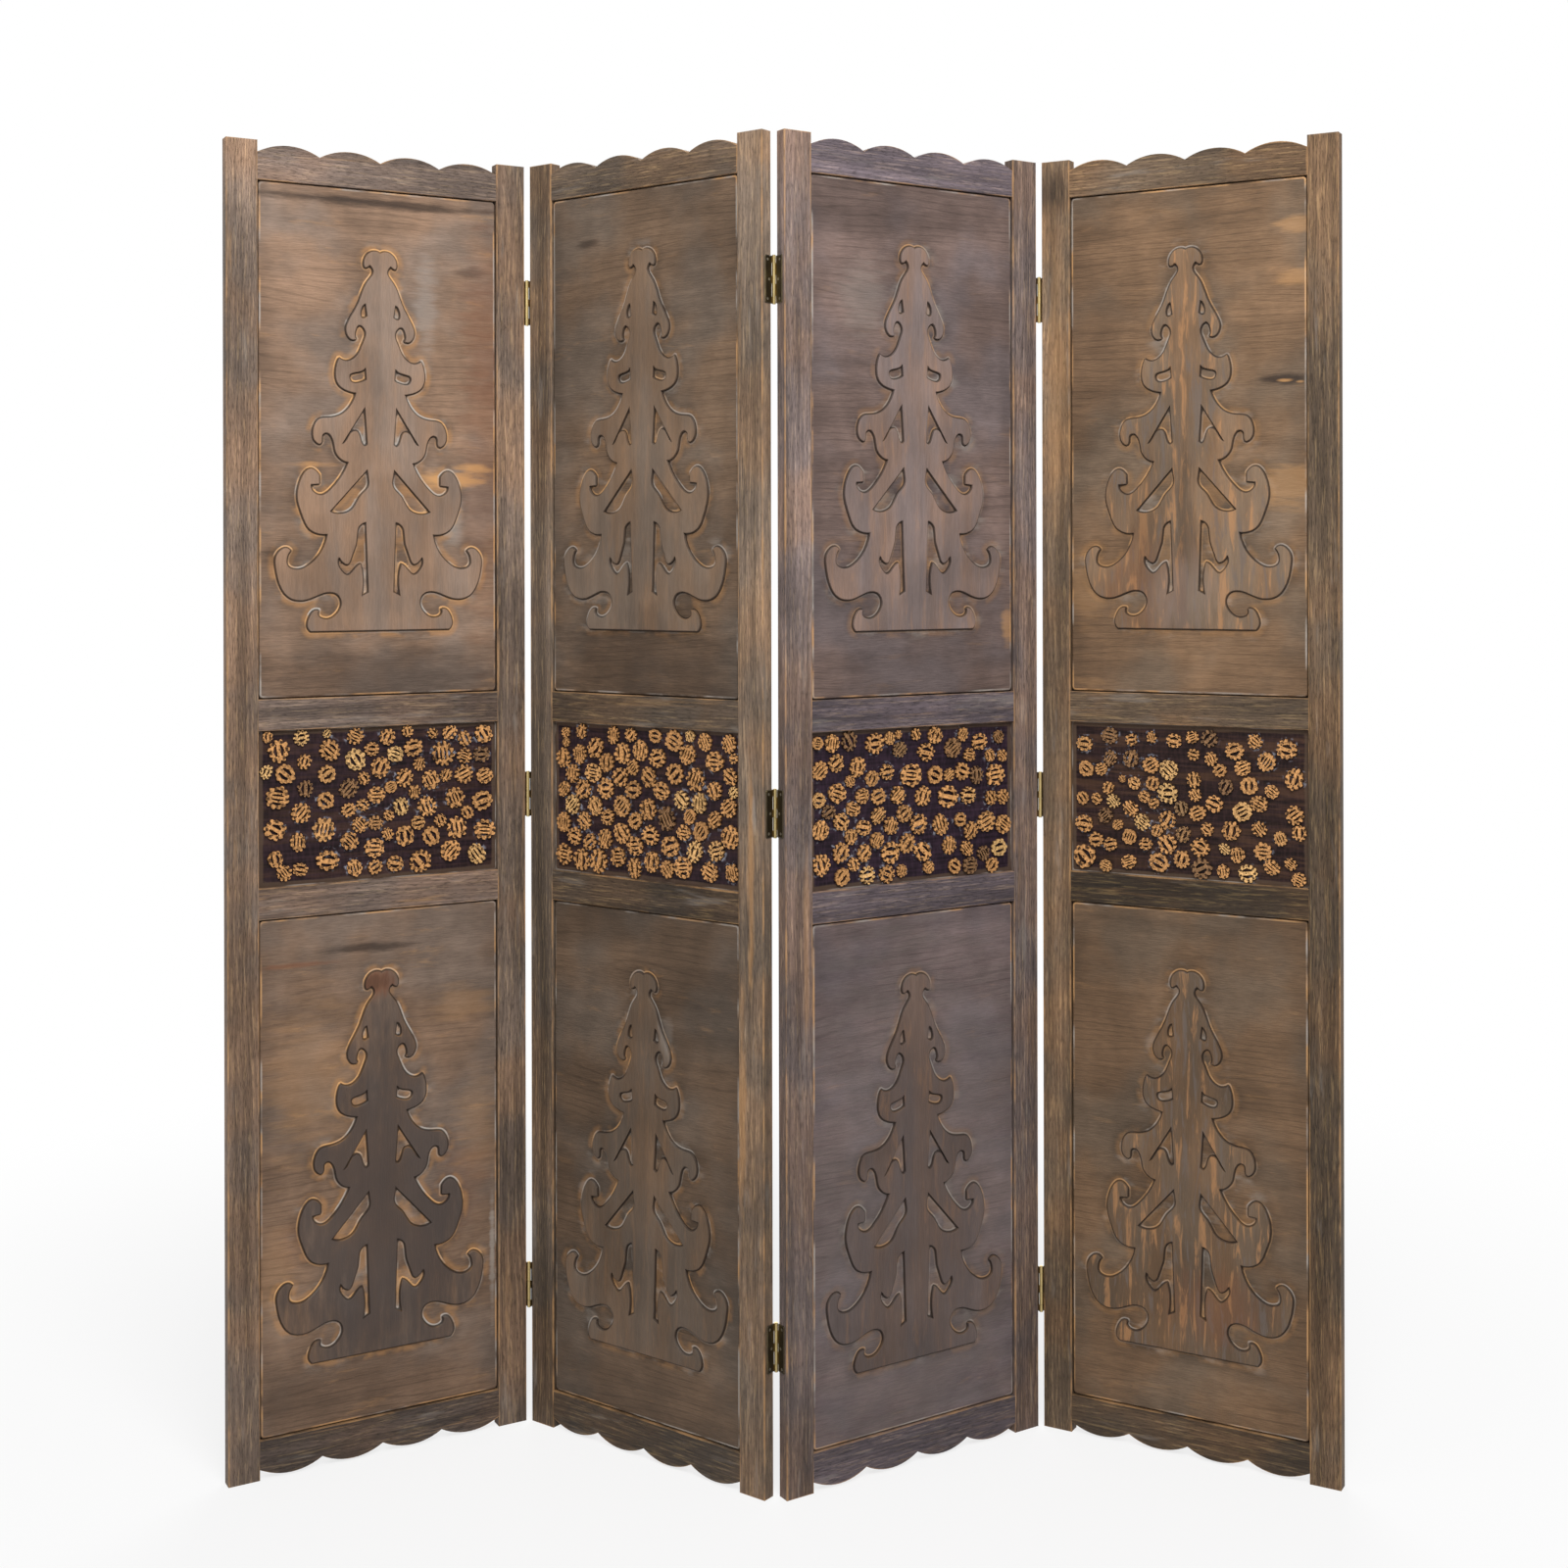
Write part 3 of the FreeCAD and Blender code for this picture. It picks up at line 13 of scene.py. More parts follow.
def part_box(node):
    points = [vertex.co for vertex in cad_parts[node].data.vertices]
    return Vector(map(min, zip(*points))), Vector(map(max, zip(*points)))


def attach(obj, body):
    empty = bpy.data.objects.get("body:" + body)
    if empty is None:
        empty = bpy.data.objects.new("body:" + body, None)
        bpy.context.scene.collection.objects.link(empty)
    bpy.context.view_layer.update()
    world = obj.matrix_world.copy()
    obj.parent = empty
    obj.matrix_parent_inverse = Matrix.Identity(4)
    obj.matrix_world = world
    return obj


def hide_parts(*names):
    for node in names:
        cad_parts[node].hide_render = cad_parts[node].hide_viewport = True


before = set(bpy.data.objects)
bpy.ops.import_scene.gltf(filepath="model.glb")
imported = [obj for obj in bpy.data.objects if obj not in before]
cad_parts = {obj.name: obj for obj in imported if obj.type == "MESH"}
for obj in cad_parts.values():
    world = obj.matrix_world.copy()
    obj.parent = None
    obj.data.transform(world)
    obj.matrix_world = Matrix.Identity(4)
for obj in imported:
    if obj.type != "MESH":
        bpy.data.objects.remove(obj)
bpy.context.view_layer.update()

bl_info = {
    "name": "Folding Screen",
    "version": (1, 0, 0),
    "blender": (4, 5, 0),
    "location": "3D Viewport > Sidebar > Folding Screen",
    "description": "Dresses a folding screen with weathered wood, fir trees and nut shell slices",
    "category": "Add Mesh",
}

LEAVES = (1, 2, 3, 4)
MM = 0.001
NEAR = 0.01 * MM
PARALLEL = 0.999
QUARTER_TURN = math.radians(90)


# Settings that a user would change

def length(name, description, millimetres):
    """A length property with its default in millimetres."""
    return FloatProperty(name=name, description=description, default=millimetres * MM, unit="LENGTH")


def share(name, description, default):
    """A plain number between nothing and a few times the whole."""
    return FloatProperty(name=name, description=description, default=default, min=0, soft_max=2)


def colour(name, description, default):
    """A linear colour property."""
    return FloatVectorProperty(
        name=name, description=description, default=default, subtype="COLOR", size=3, min=0, max=1
    )


def per_leaf(name, description, default):
    """One plain number for each leaf."""
    return FloatVectorProperty(name=name, description=description, default=default, size=4, min=0, soft_max=2)


class JoineryProperties(bpy.types.PropertyGroup):
    """Sizes of the wooden frames and panels that the frame file does not tell."""

    edge_radius: length("Edge radius", "Rounding of the long edges of stiles and rails", 1.2)
    end_radius: length("End radius", "Rounding of the stiles' ends", 0.5)
    wear_width: length("Wear width", "How far in from an edge the wear reaches", 4)
    housing: length("Housing", "How far rails and panels run on inside the frame", 1)
    scallops: IntProperty(name="Scallops", description="Lobes along the top and bottom rails", default=4, min=1)
    scallop_depth: length("Scallop depth", "Depth of the cusps between two lobes", 11)
    field_gap: length("Field gap", "Gap round the raised field of a panel", 1.2)
    field_corner: length("Field corner", "Corner radius of the raised field", 5)
    field_rounding: length("Field rounding", "Rounding of the raised field's rim", 2)
    cell: length("Cell", "Mesh size of the panels", 3)


class TreeProperties(bpy.types.PropertyGroup):
    """How the fir trees sit on their panels."""

    edge: length("Tree edge", "Width of the trees' rounded edge", 1.5)
    drop: length("Edge drop", "How far the rounded edge falls back", 1)
    seat: length("Seat", "How deep a tree sits in its panel", 1.8)
    dish_depth: length("Dish depth", "How much the ground falls towards a tree", 1.1)
    dish_width: length("Dish width", "How far out from a tree the ground falls", 8)


class SliceProperties(bpy.types.PropertyGroup):
    """How the nut shell slices are cut."""

    growth: share("Growth", "Most that a slice is larger than its plain disc", 1.18)
    valley: share("Valley", "Radius between two teeth against the tips'", 0.76)
    unevenness: share("Unevenness", "How much the teeth of one slice differ", 0.12)
    fewest_teeth: IntProperty(name="Fewest teeth", description="Teeth of the smallest slice", default=8, min=5)
    most_teeth: IntProperty(name="Most teeth", description="Teeth of the largest slice", default=12, min=5)
    lean: FloatProperty(name="Lean", description="How much a slice leans", default=0.05, subtype="ANGLE")


class FinishProperties(bpy.types.PropertyGroup):
    """Colours of the stains, shells and metals."""

    brown: colour("Brown stain", "Warm brown stain of the first leaf", (0.207, 0.14, 0.1))
    olive: colour("Olive stain", "Dark olive brown stain of the second leaf", (0.173, 0.12, 0.083))
    grey: colour("Grey stain", "Grey brown stain of the third leaf", (0.186, 0.134, 0.116))
    amber: colour("Amber stain", "Amber brown stain of the fourth leaf", (0.168, 0.108, 0.066))
    worn: colour("Worn wood", "Bare wood where the stain is rubbed off", (0.62, 0.33, 0.13))
    haze: colour("Haze", "Pale dust left in corners and along cuts", (0.4, 0.36, 0.32))
    # This colour is grime and also painted shade: in the gaps round the panels, along the trees' cuts and
    # edges, and under the top rail
    grime_and_shade: colour("Grime", "Dark stain in gaps and cuts", (0.02, 0.013, 0.01))
    board: colour("Board", "Very dark stain behind the slices", (0.021, 0.0105, 0.01))
    ash: colour("Ash", "Cold grey stain on the darkest tree", (0.06, 0.047, 0.043))
    rust: colour("Rust", "Reddish stain on its head", (0.2, 0.075, 0.035))
    glue: colour("Glue", "Dried glue between the slices", (0.34, 0.34, 0.4))
    shell: colour("Shell", "Sawn nut shell", (0.6, 0.3, 0.11))
    pale_shell: colour("Pale shell", "The palest slices", (0.74, 0.45, 0.18))
    dull_shell: colour("Dull shell", "Faded slices", (0.15, 0.085, 0.045))
    pore: colour("Pore", "Shell in its pores and chambers", (0.03, 0.013, 0.006))
    brass: colour("Brass", "Bright brass of the knuckles", (0.52, 0.4, 0.18))
    bronze: colour("Bronze", "Darkened brass of the plates", (0.07, 0.055, 0.035))
    steel: colour("Steel", "Plated screws", (0.6, 0.56, 0.48))
    # Wear also sets how strong the painted highlights on the trees' up-facing edges are
    wear: per_leaf("Wear", "How strongly each leaf is rubbed", (1.0, 0.55, 0.4, 0.5))
    mottle: per_leaf("Mottle", "How mottled each leaf's trees are", (0.1, 0.15, 0.25, 0.9))
    dust: per_leaf("Dust", "How much of each leaf's wear is pale dust", (0.0, 0.07, 0.03, 0.0))


class StageProperties(bpy.types.PropertyGroup):
    """Camera and lights."""

    lens: FloatProperty(name="Lens", description="Focal length on a 36 mm sensor", default=46.369)
    camera_place: FloatVectorProperty(
        name="Camera", description="Where the camera stands", default=(0.044, -2.6274, 1.1605),
        subtype="TRANSLATION",
    )
    camera_roll: FloatProperty(name="Roll", description="Camera roll", default=0.0021, subtype="ANGLE")
    axis_column: FloatProperty(name="Axis column", description="Image column of the view axis", default=833)
    horizon: FloatProperty(name="Horizon", description="Image row of the horizon", default=575.6)
    sky: FloatProperty(name="Sky", description="Strength of the even light", default=0.29)
    key: FloatProperty(name="Key light", description="Power of the main light", default=135, unit="POWER")
    fill: FloatProperty(name="Fill light", description="Power of the side light", default=22, unit="POWER")
    back: FloatProperty(name="Back light", description="Power of the light behind", default=60, unit="POWER")


# Shader building

def math_method(operation, reflected=False):
    """A method that adds a Math node to a shader, with its own number first or last."""
    if reflected:
        return lambda self, other: self.join(operation, other, self)
    return lambda self, *others: self.join(operation, self, *others)


class Number:
    """A number in a shader: Python's operators on it add the Math nodes."""

    def __init__(self, shader, socket):
        self.shader = shader
        self.socket = socket

    def join(self, operation, *values):
        """Add one Math node on some values."""
        node = self.shader.node("ShaderNodeMath", {"operation": operation}, dict(enumerate(values)))
        return Number(self.shader, node.outputs[0])

    __add__ = __radd__ = math_method("ADD")
    __sub__, __rsub__ = math_method("SUBTRACT"), math_method("SUBTRACT", reflected=True)
    __mul__ = __rmul__ = math_method("MULTIPLY")
    __truediv__, __rtruediv__ = math_method("DIVIDE"), math_method("DIVIDE", reflected=True)
    __pow__, __rpow__ = math_method("POWER"), math_method("POWER", reflected=True)
    most, whole, turned = math_method("MAXIMUM"), math_method("FLOOR"), math_method("ARCTAN2")

    def wave(self):
        """The sine of an angle, brought between 0 and 1."""
        return self.join("SINE", self) * 0.5 + 0.5

    def span(self, low, high):
        """A number from 0 to 1 brought between two others."""
        return self * (high - low) + low

    def rise(self, low, high):
        """A smooth step from 0 at low to 1 at high, falling where low is above high."""
        node = self.shader.node(
            "ShaderNodeMapRange", {"interpolation_type": "SMOOTHSTEP"},
            {"Value": self, "From Min": low, "From Max": high},
        )
        return Number(self.shader, node.outputs["Result"])


class Shader:
    """The nodes of one material or world."""

    def __init__(self, owner):
        self.owner = owner
        owner.use_nodes = True
        self.tree = owner.node_tree
        self.tree.nodes.clear()

    def node(self, kind, settings=None, values=None):
        """Add a node, set it up and give its sockets values or links."""
        node = self.tree.nodes.new(kind)
        for name, setting in (settings or {}).items():
            setattr(node, name, setting)
        for key, value in (values or {}).items():
            self.feed(node.inputs[key], value)
        return node

    def feed(self, socket, value):
        """Give one socket a value, a colour or a link."""
        value = getattr(value, "socket", value)
        if isinstance(value, bpy.types.NodeSocket):
            self.tree.links.new(value, socket)
        elif socket.type == "RGBA":
            socket.default_value = (*value, 1)
        else:
            socket.default_value = value

    def attribute(self, name):
        """A number that the mesh holds at each vertex."""
        node = self.node("ShaderNodeAttribute", {"attribute_name": name})
        return Number(self, node.outputs["Fac"])

    def directions(self, name):
        """The three numbers of a vector that the mesh holds at each vertex."""
        node = self.node("ShaderNodeAttribute", {"attribute_name": name})
        return self.split(node.outputs["Vector"])

    def place(self):
        """Each point in the object's own axes."""
        return self.node("ShaderNodeTexCoord").outputs["Object"]

    def split(self, vector):
        """The three numbers of a vector."""
        node = self.node("ShaderNodeSeparateXYZ", values={0: vector})
        return [Number(self, output) for output in node.outputs]

    def vector(self, x, y, z):
        """A vector made of three numbers."""
        return self.node("ShaderNodeCombineXYZ", values={0: x, 1: y, 2: z}).outputs[0]

    def noise(self, vector, scale, detail=2, roughness=0.5, distortion=0):
        """Soft noise between 0 and 1."""
        node = self.node("ShaderNodeTexNoise", values={
            "Vector": vector, "Scale": scale, "Detail": detail, "Roughness": roughness,
            "Distortion": distortion,
        })
        return Number(self, node.outputs["Fac"])

    def chance(self, number):
        """An even chance between 0 and 1 that belongs to a number."""
        node = self.node("ShaderNodeTexWhiteNoise", {"noise_dimensions": "1D"}, {"W": number})
        return Number(self, node.outputs["Value"])

    def cells(self, vector, scale):
        """Distance to the nearest of scattered points."""
        node = self.node("ShaderNodeTexVoronoi", values={"Vector": vector, "Scale": scale})
        return Number(self, node.outputs["Distance"])

    def mix(self, factor, first, second):
        """A colour between two colours."""
        return self.node("ShaderNodeMix", {"data_type": "RGBA"}, {0: factor, 6: first, 7: second}).outputs[2]

    def tone(self, paint, strength):
        """A colour made lighter or darker by a number."""
        node = self.node("ShaderNodeVectorMath", {"operation": "SCALE"}, {0: paint, "Scale": strength})
        return node.outputs[0]

    def finish(self, paint, roughness, height, bump, specular=0.5, metallic=0.0):
        """Close the material with one surface shader."""
        relief = self.node("ShaderNodeBump", values={"Height": height, "Distance": bump})
        surface = self.node("ShaderNodeBsdfPrincipled", values={
            "Base Color": paint, "Roughness": roughness, "Metallic": metallic,
            "Specular IOR Level": specular, "Normal": relief.outputs[0],
        })
        self.node("ShaderNodeOutputMaterial", values={"Surface": surface.outputs[0]})
        return self.owner


def new_shader(name):
    """The nodes of a new material."""
    return Shader(bpy.data.materials.new(name))


def tinted(paint, red, green, blue):
    """A colour with its three parts made stronger or weaker."""
    return paint[0] * red, paint[1] * green, paint[2] * blue


# Wood

STAIN = {1: "brown", 2: "olive", 3: "grey", 4: "amber"}
WARM, COOL, COLD = (1.07, 0.99, 0.9), (0.94, 1.0, 1.07), (0.9, 1.0, 1.32)
AS_IS = (1, 1, 1)
WOOD_GLOSS = 0.2
SEED_STEPS = (2.7, 1.3, 0.9)


class WoodLook:
    """The paint of one kind of wood, laid in coats: first the stain, then dust, wear, painted shade and
    highlights, and marks.

    The mesh holds each place as along, across and through the grain, in metres on its leaf.
    """

    def __init__(self, kind, leaf):
        self.shader = new_shader(f"{kind}_wood")
        self.finish = bpy.context.scene.screen_finish
        self.wear, self.dust = self.finish.wear[leaf - 1], self.finish.dust[leaf - 1]
        self.base = getattr(self.finish, STAIN[leaf])
        self.place = self.shader.directions("grain")
        seed = self.value("seed")
        self.along, self.across, self.depth = (at + seed * step for at, step in zip(self.place, SEED_STEPS))
        self.shade = self.value("shade")
        self.paint = None

    def value(self, name):
        """One of the numbers that the mesh holds."""
        return self.shader.attribute(name)

    def grain(self, along, across, detail=2, roughness=0.5, distortion=0):
        """Noise drawn out along the grain, with its two scales per metre."""
        stretched = self.shader.vector(self.along * along, self.across * across, self.depth * across)
        return self.shader.noise(stretched, 1, detail, roughness, distortion)

    def clouds(self, scale, detail=2):
        """Soft blotches."""
        return self.shader.noise(self.shader.vector(self.along, self.across, self.depth), scale, detail)

    def stain(self, tone, warmth):
        """Start with the leaf's stain, warmer in places and colder on some pieces, at a tone."""
        warm, cool, cold = (tinted(self.base, *tint) for tint in (WARM, COOL, COLD))
        paint = self.shader.mix(self.value("chill"), self.shader.mix(warmth, cool, warm), cold)
        self.paint = self.shader.tone(paint, tone * self.shade)

    def coat(self, amount, paint, tint=AS_IS):
        """Lay one more colour over the paint, by its name in the settings or as it is."""
        if isinstance(paint, str):
            paint = tinted(getattr(self.finish, paint), *tint)
        self.paint = self.shader.mix(amount, self.paint, paint)

    def bright(self, limit, wood_tint=AS_IS, dust_tint=AS_IS):
        """Bare wood with patches of pale dust."""
        dusty = (self.clouds(15) - self.dust).rise(limit, limit - 0.12)
        return self.shader.mix(
            dusty, tinted(self.finish.worn, *wood_tint), tinted(self.finish.haze, *dust_tint),
        )

    def mark(self, marks, upright=False):
        """Lay ragged blots, each at a place on the leaf with a size and a strength."""
        for kind, x, z, width, height, strength in marks:
            spots = ((z, height), (x, width)) if upright else ((x, width), (z, height))
            off = [(at - middle * MM) / (size * MM / 2) for at, (middle, size) in zip(self.place, spots)]
            far = (off[0] * off[0] + off[1] * off[1]) ** 0.5
            self.coat((far + self.grain(14, 75, 4, 0.65) * 1.8).rise(2.0, 1.2) * strength, kind)

    def close(self, roughness, height, bump, gloss=WOOD_GLOSS):
        """The finished material."""
        return self.shader.finish(self.paint, roughness, height, bump, gloss)


def make_frame_wood(leaf):
    """Open-grained wood of the stiles and rails: growth bands, short dark pores and worn edges."""
    look = WoodLook(f"{STAIN[leaf]}_frame", leaf)
    bands = (look.across * 1300 + look.grain(1.4, 13) * 90).wave()
    slow = look.grain(2.6, 60, 4, 0.6).rise(0.3, 0.7)
    pores = look.grain(84, 900, 4, 0.7).rise(0.5, 0.34)
    flecks = look.grain(22, 300, 4, 0.7).rise(0.5, 0.68)
    clouds = look.clouds(4, 3).rise(0.32, 0.68)
    tone = bands.span(0.86, 1.1) * slow.span(0.66, 1.3) * pores.span(1.08, 0.54) * flecks.span(0.9, 1.45)
    # Darker towards the bottom: painted shade for the light falling off towards the floor
    tone = tone * clouds.span(0.74, 1.24) * look.value("height").rise(0, 1.5).span(0.8, 1.08)
    look.stain(tone, look.clouds(8, 3).rise(0.4, 0.62))
    look.coat(look.grain(5, 75, 4, 0.62).rise(0.6, 0.72) * 0.34 * look.wear, "worn", (0.75, 0.8, 0.9))
    look.coat(look.grain(9, 60, 3, 0.6).rise(0.58, 0.74) * 0.2, "haze")
    look.coat(flecks * 0.16, "worn", (0.75, 0.95, 0.9))
    rubbed = (look.value("edge") + look.grain(16, 16, 4, 0.6) * 1.2).rise(1.42, 1.8)
    look.coat(rubbed * 0.6, "worn", (0.8, 0.85, 0.95))
    look.mark(STILE_MARKS[leaf], upright=True)
    return look.close(0.52 + slow * 0.14, pores * -0.8 + bands * 0.35 + flecks * 0.3, 0.0003)


# Marks as stain, middle across and up, width, height (millimetres on the leaf) and strength

PANEL_MARKS = {
    1: (
        # The first mark is painted shadow under the top rail
        ("grime_and_shade", 190, 1634, 420, 16, 0.75), ("worn", 292, 1272, 110, 30, 0.85),
        ("worn", 330, 1290, 60, 14, 0.8), ("grime_and_shade", 325, 1551, 60, 22, 0.5),
        ("haze", 262, 1500, 40, 150, 0.3), ("haze", 300, 1225, 30, 90, 0.4),
        ("grime_and_shade", 73, 1172, 60, 40, 0.45), ("worn", 110, 1290, 70, 10, 0.35),
        ("grime_and_shade", 200, 1170, 150, 60, 0.3), ("grime_and_shade", 200, 1015, 420, 90, 0.42),
        ("grime_and_shade", 200, 90, 420, 120, 0.2), ("rust", 345, 1290, 90, 520, 0.24),
        ("rust", 345, 1480, 90, 340, 0.24), ("grime_and_shade", 180, 662, 150, 16, 0.7),
        ("rust", 90, 648, 110, 9, 0.5), ("worn", 105, 500, 150, 240, 0.15),
        ("worn", 310, 575, 110, 60, 0.16), ("haze", 352, 235, 10, 190, 0.5),
        ("worn", 330, 420, 70, 160, 0.12), ("worn", 60, 250, 60, 200, 0.12),
        ("haze", 175, 556, 10, 30, 0.7), ("haze", 216, 554, 10, 26, 0.7), ("grime_and_shade", 330, 200, 90, 120, 0.2),
        ("rust", 306, 343, 100, 150, 0.16), ("rust", 101, 297, 90, 90, 0.14),
    ),
    2: (
        ("grime_and_shade", 105, 1586, 50, 14, 0.6), ("haze", 241, 552, 22, 60, 0.15),
        ("haze", 150, 1180, 80, 60, 0.2), ("grime_and_shade", 200, 1030, 420, 150, 0.5),
        ("grime_and_shade", 300, 1560, 160, 200, 0.2), ("grime_and_shade", 250, 728, 200, 12, 0.5),
    ),
    3: (
        ("worn", 352, 1075, 24, 60, 0.35), ("haze", 120, 1500, 90, 120, 0.18),
        ("grime_and_shade", 200, 1020, 420, 110, 0.24), ("grime_and_shade", 120, 1600, 300, 60, 0.25),
        ("haze", 200, 330, 520, 900, 0.1), ("ash", 200, 330, 520, 900, 0.25),
    ),
    4: (
        ("grime_and_shade", 70, 1470, 150, 460, 0.34), ("grime_and_shade", 100, 1080, 260, 100, 0.2),
        ("grime_and_shade", 328, 1393, 92, 20, 0.8), ("worn", 330, 1392, 26, 5, 0.6),
        ("worn", 350, 1390, 14, 4, 0.45), ("worn", 345, 1590, 60, 26, 0.3),
        ("worn", 345, 1522, 64, 24, 0.32), ("worn", 330, 1258, 130, 64, 0.3),
        ("worn", 66, 1126, 60, 120, 0.16),
    ),
}

STILE_MARKS = {
    1: (
        ("grime_and_shade", 20, 1120, 30, 260, 0.3),
    ),
    2: (
        ("worn", 380, 800, 14, 420, 0.42), ("worn", 366, 480, 16, 360, 0.34),
        ("haze", 385, 850, 8, 60, 0.4),
    ),
    3: (
        ("worn", 30, 700, 10, 300, 0.2),
    ),
    4: (
        ("grime_and_shade", 20, 1655, 50, 70, 0.6), ("worn", 22, 1400, 34, 420, 0.16),
    ),
}

TREE_MARKS = {
    1: (
        ("ash", 200, 330, 460, 700, 0.75), ("rust", 194, 615, 60, 46, 0.62),
        ("grime_and_shade", 190, 616, 56, 26, 0.4),
    ),
    2: (
        ("haze", 241, 552, 30, 70, 0.3), ("grime_and_shade", 200, 1090, 120, 60, 0.25),
    ),
    3: (
        ("ash", 200, 330, 460, 760, 0.3),
    ),
    4: (
        ("grime_and_shade", 200, 1180, 40, 300, 0.4), ("rust", 160, 1130, 150, 160, 0.3),
        ("rust", 240, 200, 160, 120, 0.3), ("haze", 190, 1120, 120, 130, 0.16),
        ("grime_and_shade", 150, 1200, 60, 260, 0.3),
    ),
}


def make_panel_wood(leaf):
    """Fine-grained panel: clouds of stain, a rubbed rim, wear along the tree with painted highlights where its
    edge faces up, painted shade round the tree and in the gap round the field, and the leaf's own marks.
    """
    look = WoodLook(f"{STAIN[leaf]}_panel", leaf)
    lines = (look.across * 640 + look.grain(1.2, 9, 3) * 70).wave().rise(0.82, 1)
    lines = lines * look.clouds(8).rise(0.46, 0.62)
    fibres = look.grain(70, 900, 3, 0.6).rise(0.34, 0.66)
    bands = look.grain(2, 30, 5, 0.62, 0.5).rise(0.3, 0.7)
    clouds = look.clouds(5.5, 3).rise(0.3, 0.7)
    blots = look.clouds(26, 4).rise(0.34, 0.66)
    tone = lines.span(1.02, 0.8) * fibres.span(0.87, 1.12) * bands.span(0.86, 1.14)
    tone = tone * clouds.span(0.78, 1.2) * blots.span(0.9, 1.1)

    cut, ledge, rim = (look.value(name) for name in ("cut", "ledge", "rim"))
    halo = cut.rise(18, 2)
    # Painted shade: the ground darkens in a soft band round the raised tree
    tone = tone * (halo * look.clouds(12, 3).rise(0.3, 0.5)).span(1, 0.72) * rim.rise(28, 3).span(1, 0.88)
    look.stain(tone, look.clouds(8, 3).rise(0.36, 0.58))
    bare = cut.rise(12, 5) * look.clouds(34, 3).rise(0.42, 0.6)
    look.coat(bare * 0.4 * look.wear, "worn", (0.85, 0.8, 0.75))
    look.coat(halo * look.grain(20, 40, 4, 0.6).rise(0.52, 0.68) * 0.26, "haze")
    look.coat(look.grain(12, 60, 5, 0.65, 0.3).rise(0.6, 0.72) * 0.18 * look.wear, "worn")
    look.mark(PANEL_MARKS[leaf])

    bright = look.bright(0.54, (1.15, 1.2, 1.3), (1.25, 1.25, 1.25))
    # Bare worn wood along the tree's outline, made brighter where the ground lies above the tree: painted
    # highlight on the up-facing edge
    worn_lip_and_highlight = cut.rise(3.9, 2.6) * ledge.rise(-0.2, 0.7).span(0.25, 1) * look.clouds(24, 4).rise(0.38, 0.52)
    look.coat(worn_lip_and_highlight * look.wear, bright)
    # A dark line along the tree's cut: grime in the crevice and painted shade
    look.coat(cut.rise(2, 0.9) * 0.85, "grime_and_shade")
    rim_band = rim.rise(0.2, 1) * rim.rise(3.6, 2) * look.clouds(17, 4).rise(0.4, 0.6)
    look.coat(rim_band * 0.6, bright)
    # The gap round the raised field painted dark: painted shade, with grime
    look.coat(rim.rise(0.4, -0.3), "grime_and_shade")
    rough = 0.5 + clouds * 0.14 + fibres * 0.06
    return look.close(rough, fibres * 0.6 + bands * 0.3 - lines * 0.4, 0.00025)


def make_tree_wood(leaf):
    """Wood of one leaf's trees, with upright grain."""
    look = WoodLook(f"{STAIN[leaf]}_tree", leaf)
    fibres = look.grain(60, 800, 3, 0.6).rise(0.34, 0.66)
    bands = look.grain(2.2, 40, 5, 0.62, 0.5).rise(0.3, 0.7)
    clouds = look.clouds(7, 3).rise(0.3, 0.7)
    tone = fibres.span(0.92, 1.08) * bands.span(0.88, 1.12) * clouds.span(0.78, 1.18)
    look.stain(tone, look.grain(6, 24, 3).rise(0.36, 0.66))
    mottle, strength = look.grain(13, 95, 4, 0.65, 0.6), look.finish.mottle[leaf - 1]
    look.coat(mottle.rise(0.54, 0.66) * 0.55 * strength, "worn", (0.8, 0.75, 0.8))
    look.coat(mottle.rise(0.46, 0.36) * 0.6 * strength, "haze", (0.35, 0.32, 0.32))
    look.mark(TREE_MARKS[leaf], upright=True)
    edge = look.value("edge")
    # Bare wood on the tree's rounded edge, brighter where it faces up: painted highlight with wear
    worn_lip_and_highlight = edge * look.value("ledge").rise(-0.1, 0.6) * look.clouds(21, 3).rise(0.42, 0.6)
    look.coat(worn_lip_and_highlight * 0.5 * look.wear, look.bright(0.52))
    # The tree's rounded edge and sides darker: grime and painted shade
    look.coat(edge.rise(0.45, 1) * 0.6, "grime_and_shade")
    rough = 0.5 + clouds * 0.12 + fibres * 0.06
    return look.close(rough, fibres * 0.6 + bands * 0.3, 0.00022)


# Slice board, slices and metal

def make_board_wood():
    """The very dark board behind the slices, with dried glue round them."""
    look = WoodLook("dark_board", 1)
    shader, board = look.shader, look.finish.board
    streaks = look.grain(8, 240, 4, 0.6).rise(0.3, 0.7)
    weave = look.grain(300, 60).rise(0.4, 0.64)
    hue = shader.mix(look.shade, board, tinted(board, 1, 1.1, 1.9))
    look.paint = shader.tone(hue, streaks * 0.9 + weave * 0.5 + 0.3)
    bare = look.grain(9, 90, 5, 0.65).rise(0.46, 0.62) * (1 - look.shade)
    look.coat(bare * 0.4, "olive", (0.62, 0.45, 0.35))
    rim = look.value("rim")
    worn = (rim.rise(9, 2) + look.clouds(16, 4)).rise(0.62, 1.1)
    look.coat(worn * 0.6, "olive", (0.62, 0.58, 0.55))
    look.coat(rim.rise(1.8, 0.8) * look.clouds(19, 3).rise(0.4, 0.6) * 0.6, "haze")
    glue = look.value("cut").rise(5, 0.5) * look.clouds(170, 4).rise(0.53, 0.64)
    glue = glue * look.clouds(13).rise(0.5, 0.6)
    look.coat(glue * 0.7, "glue")
    return look.close(0.55 - glue * 0.3, streaks * 0.3 + glue, 0.0006, gloss=0.12)


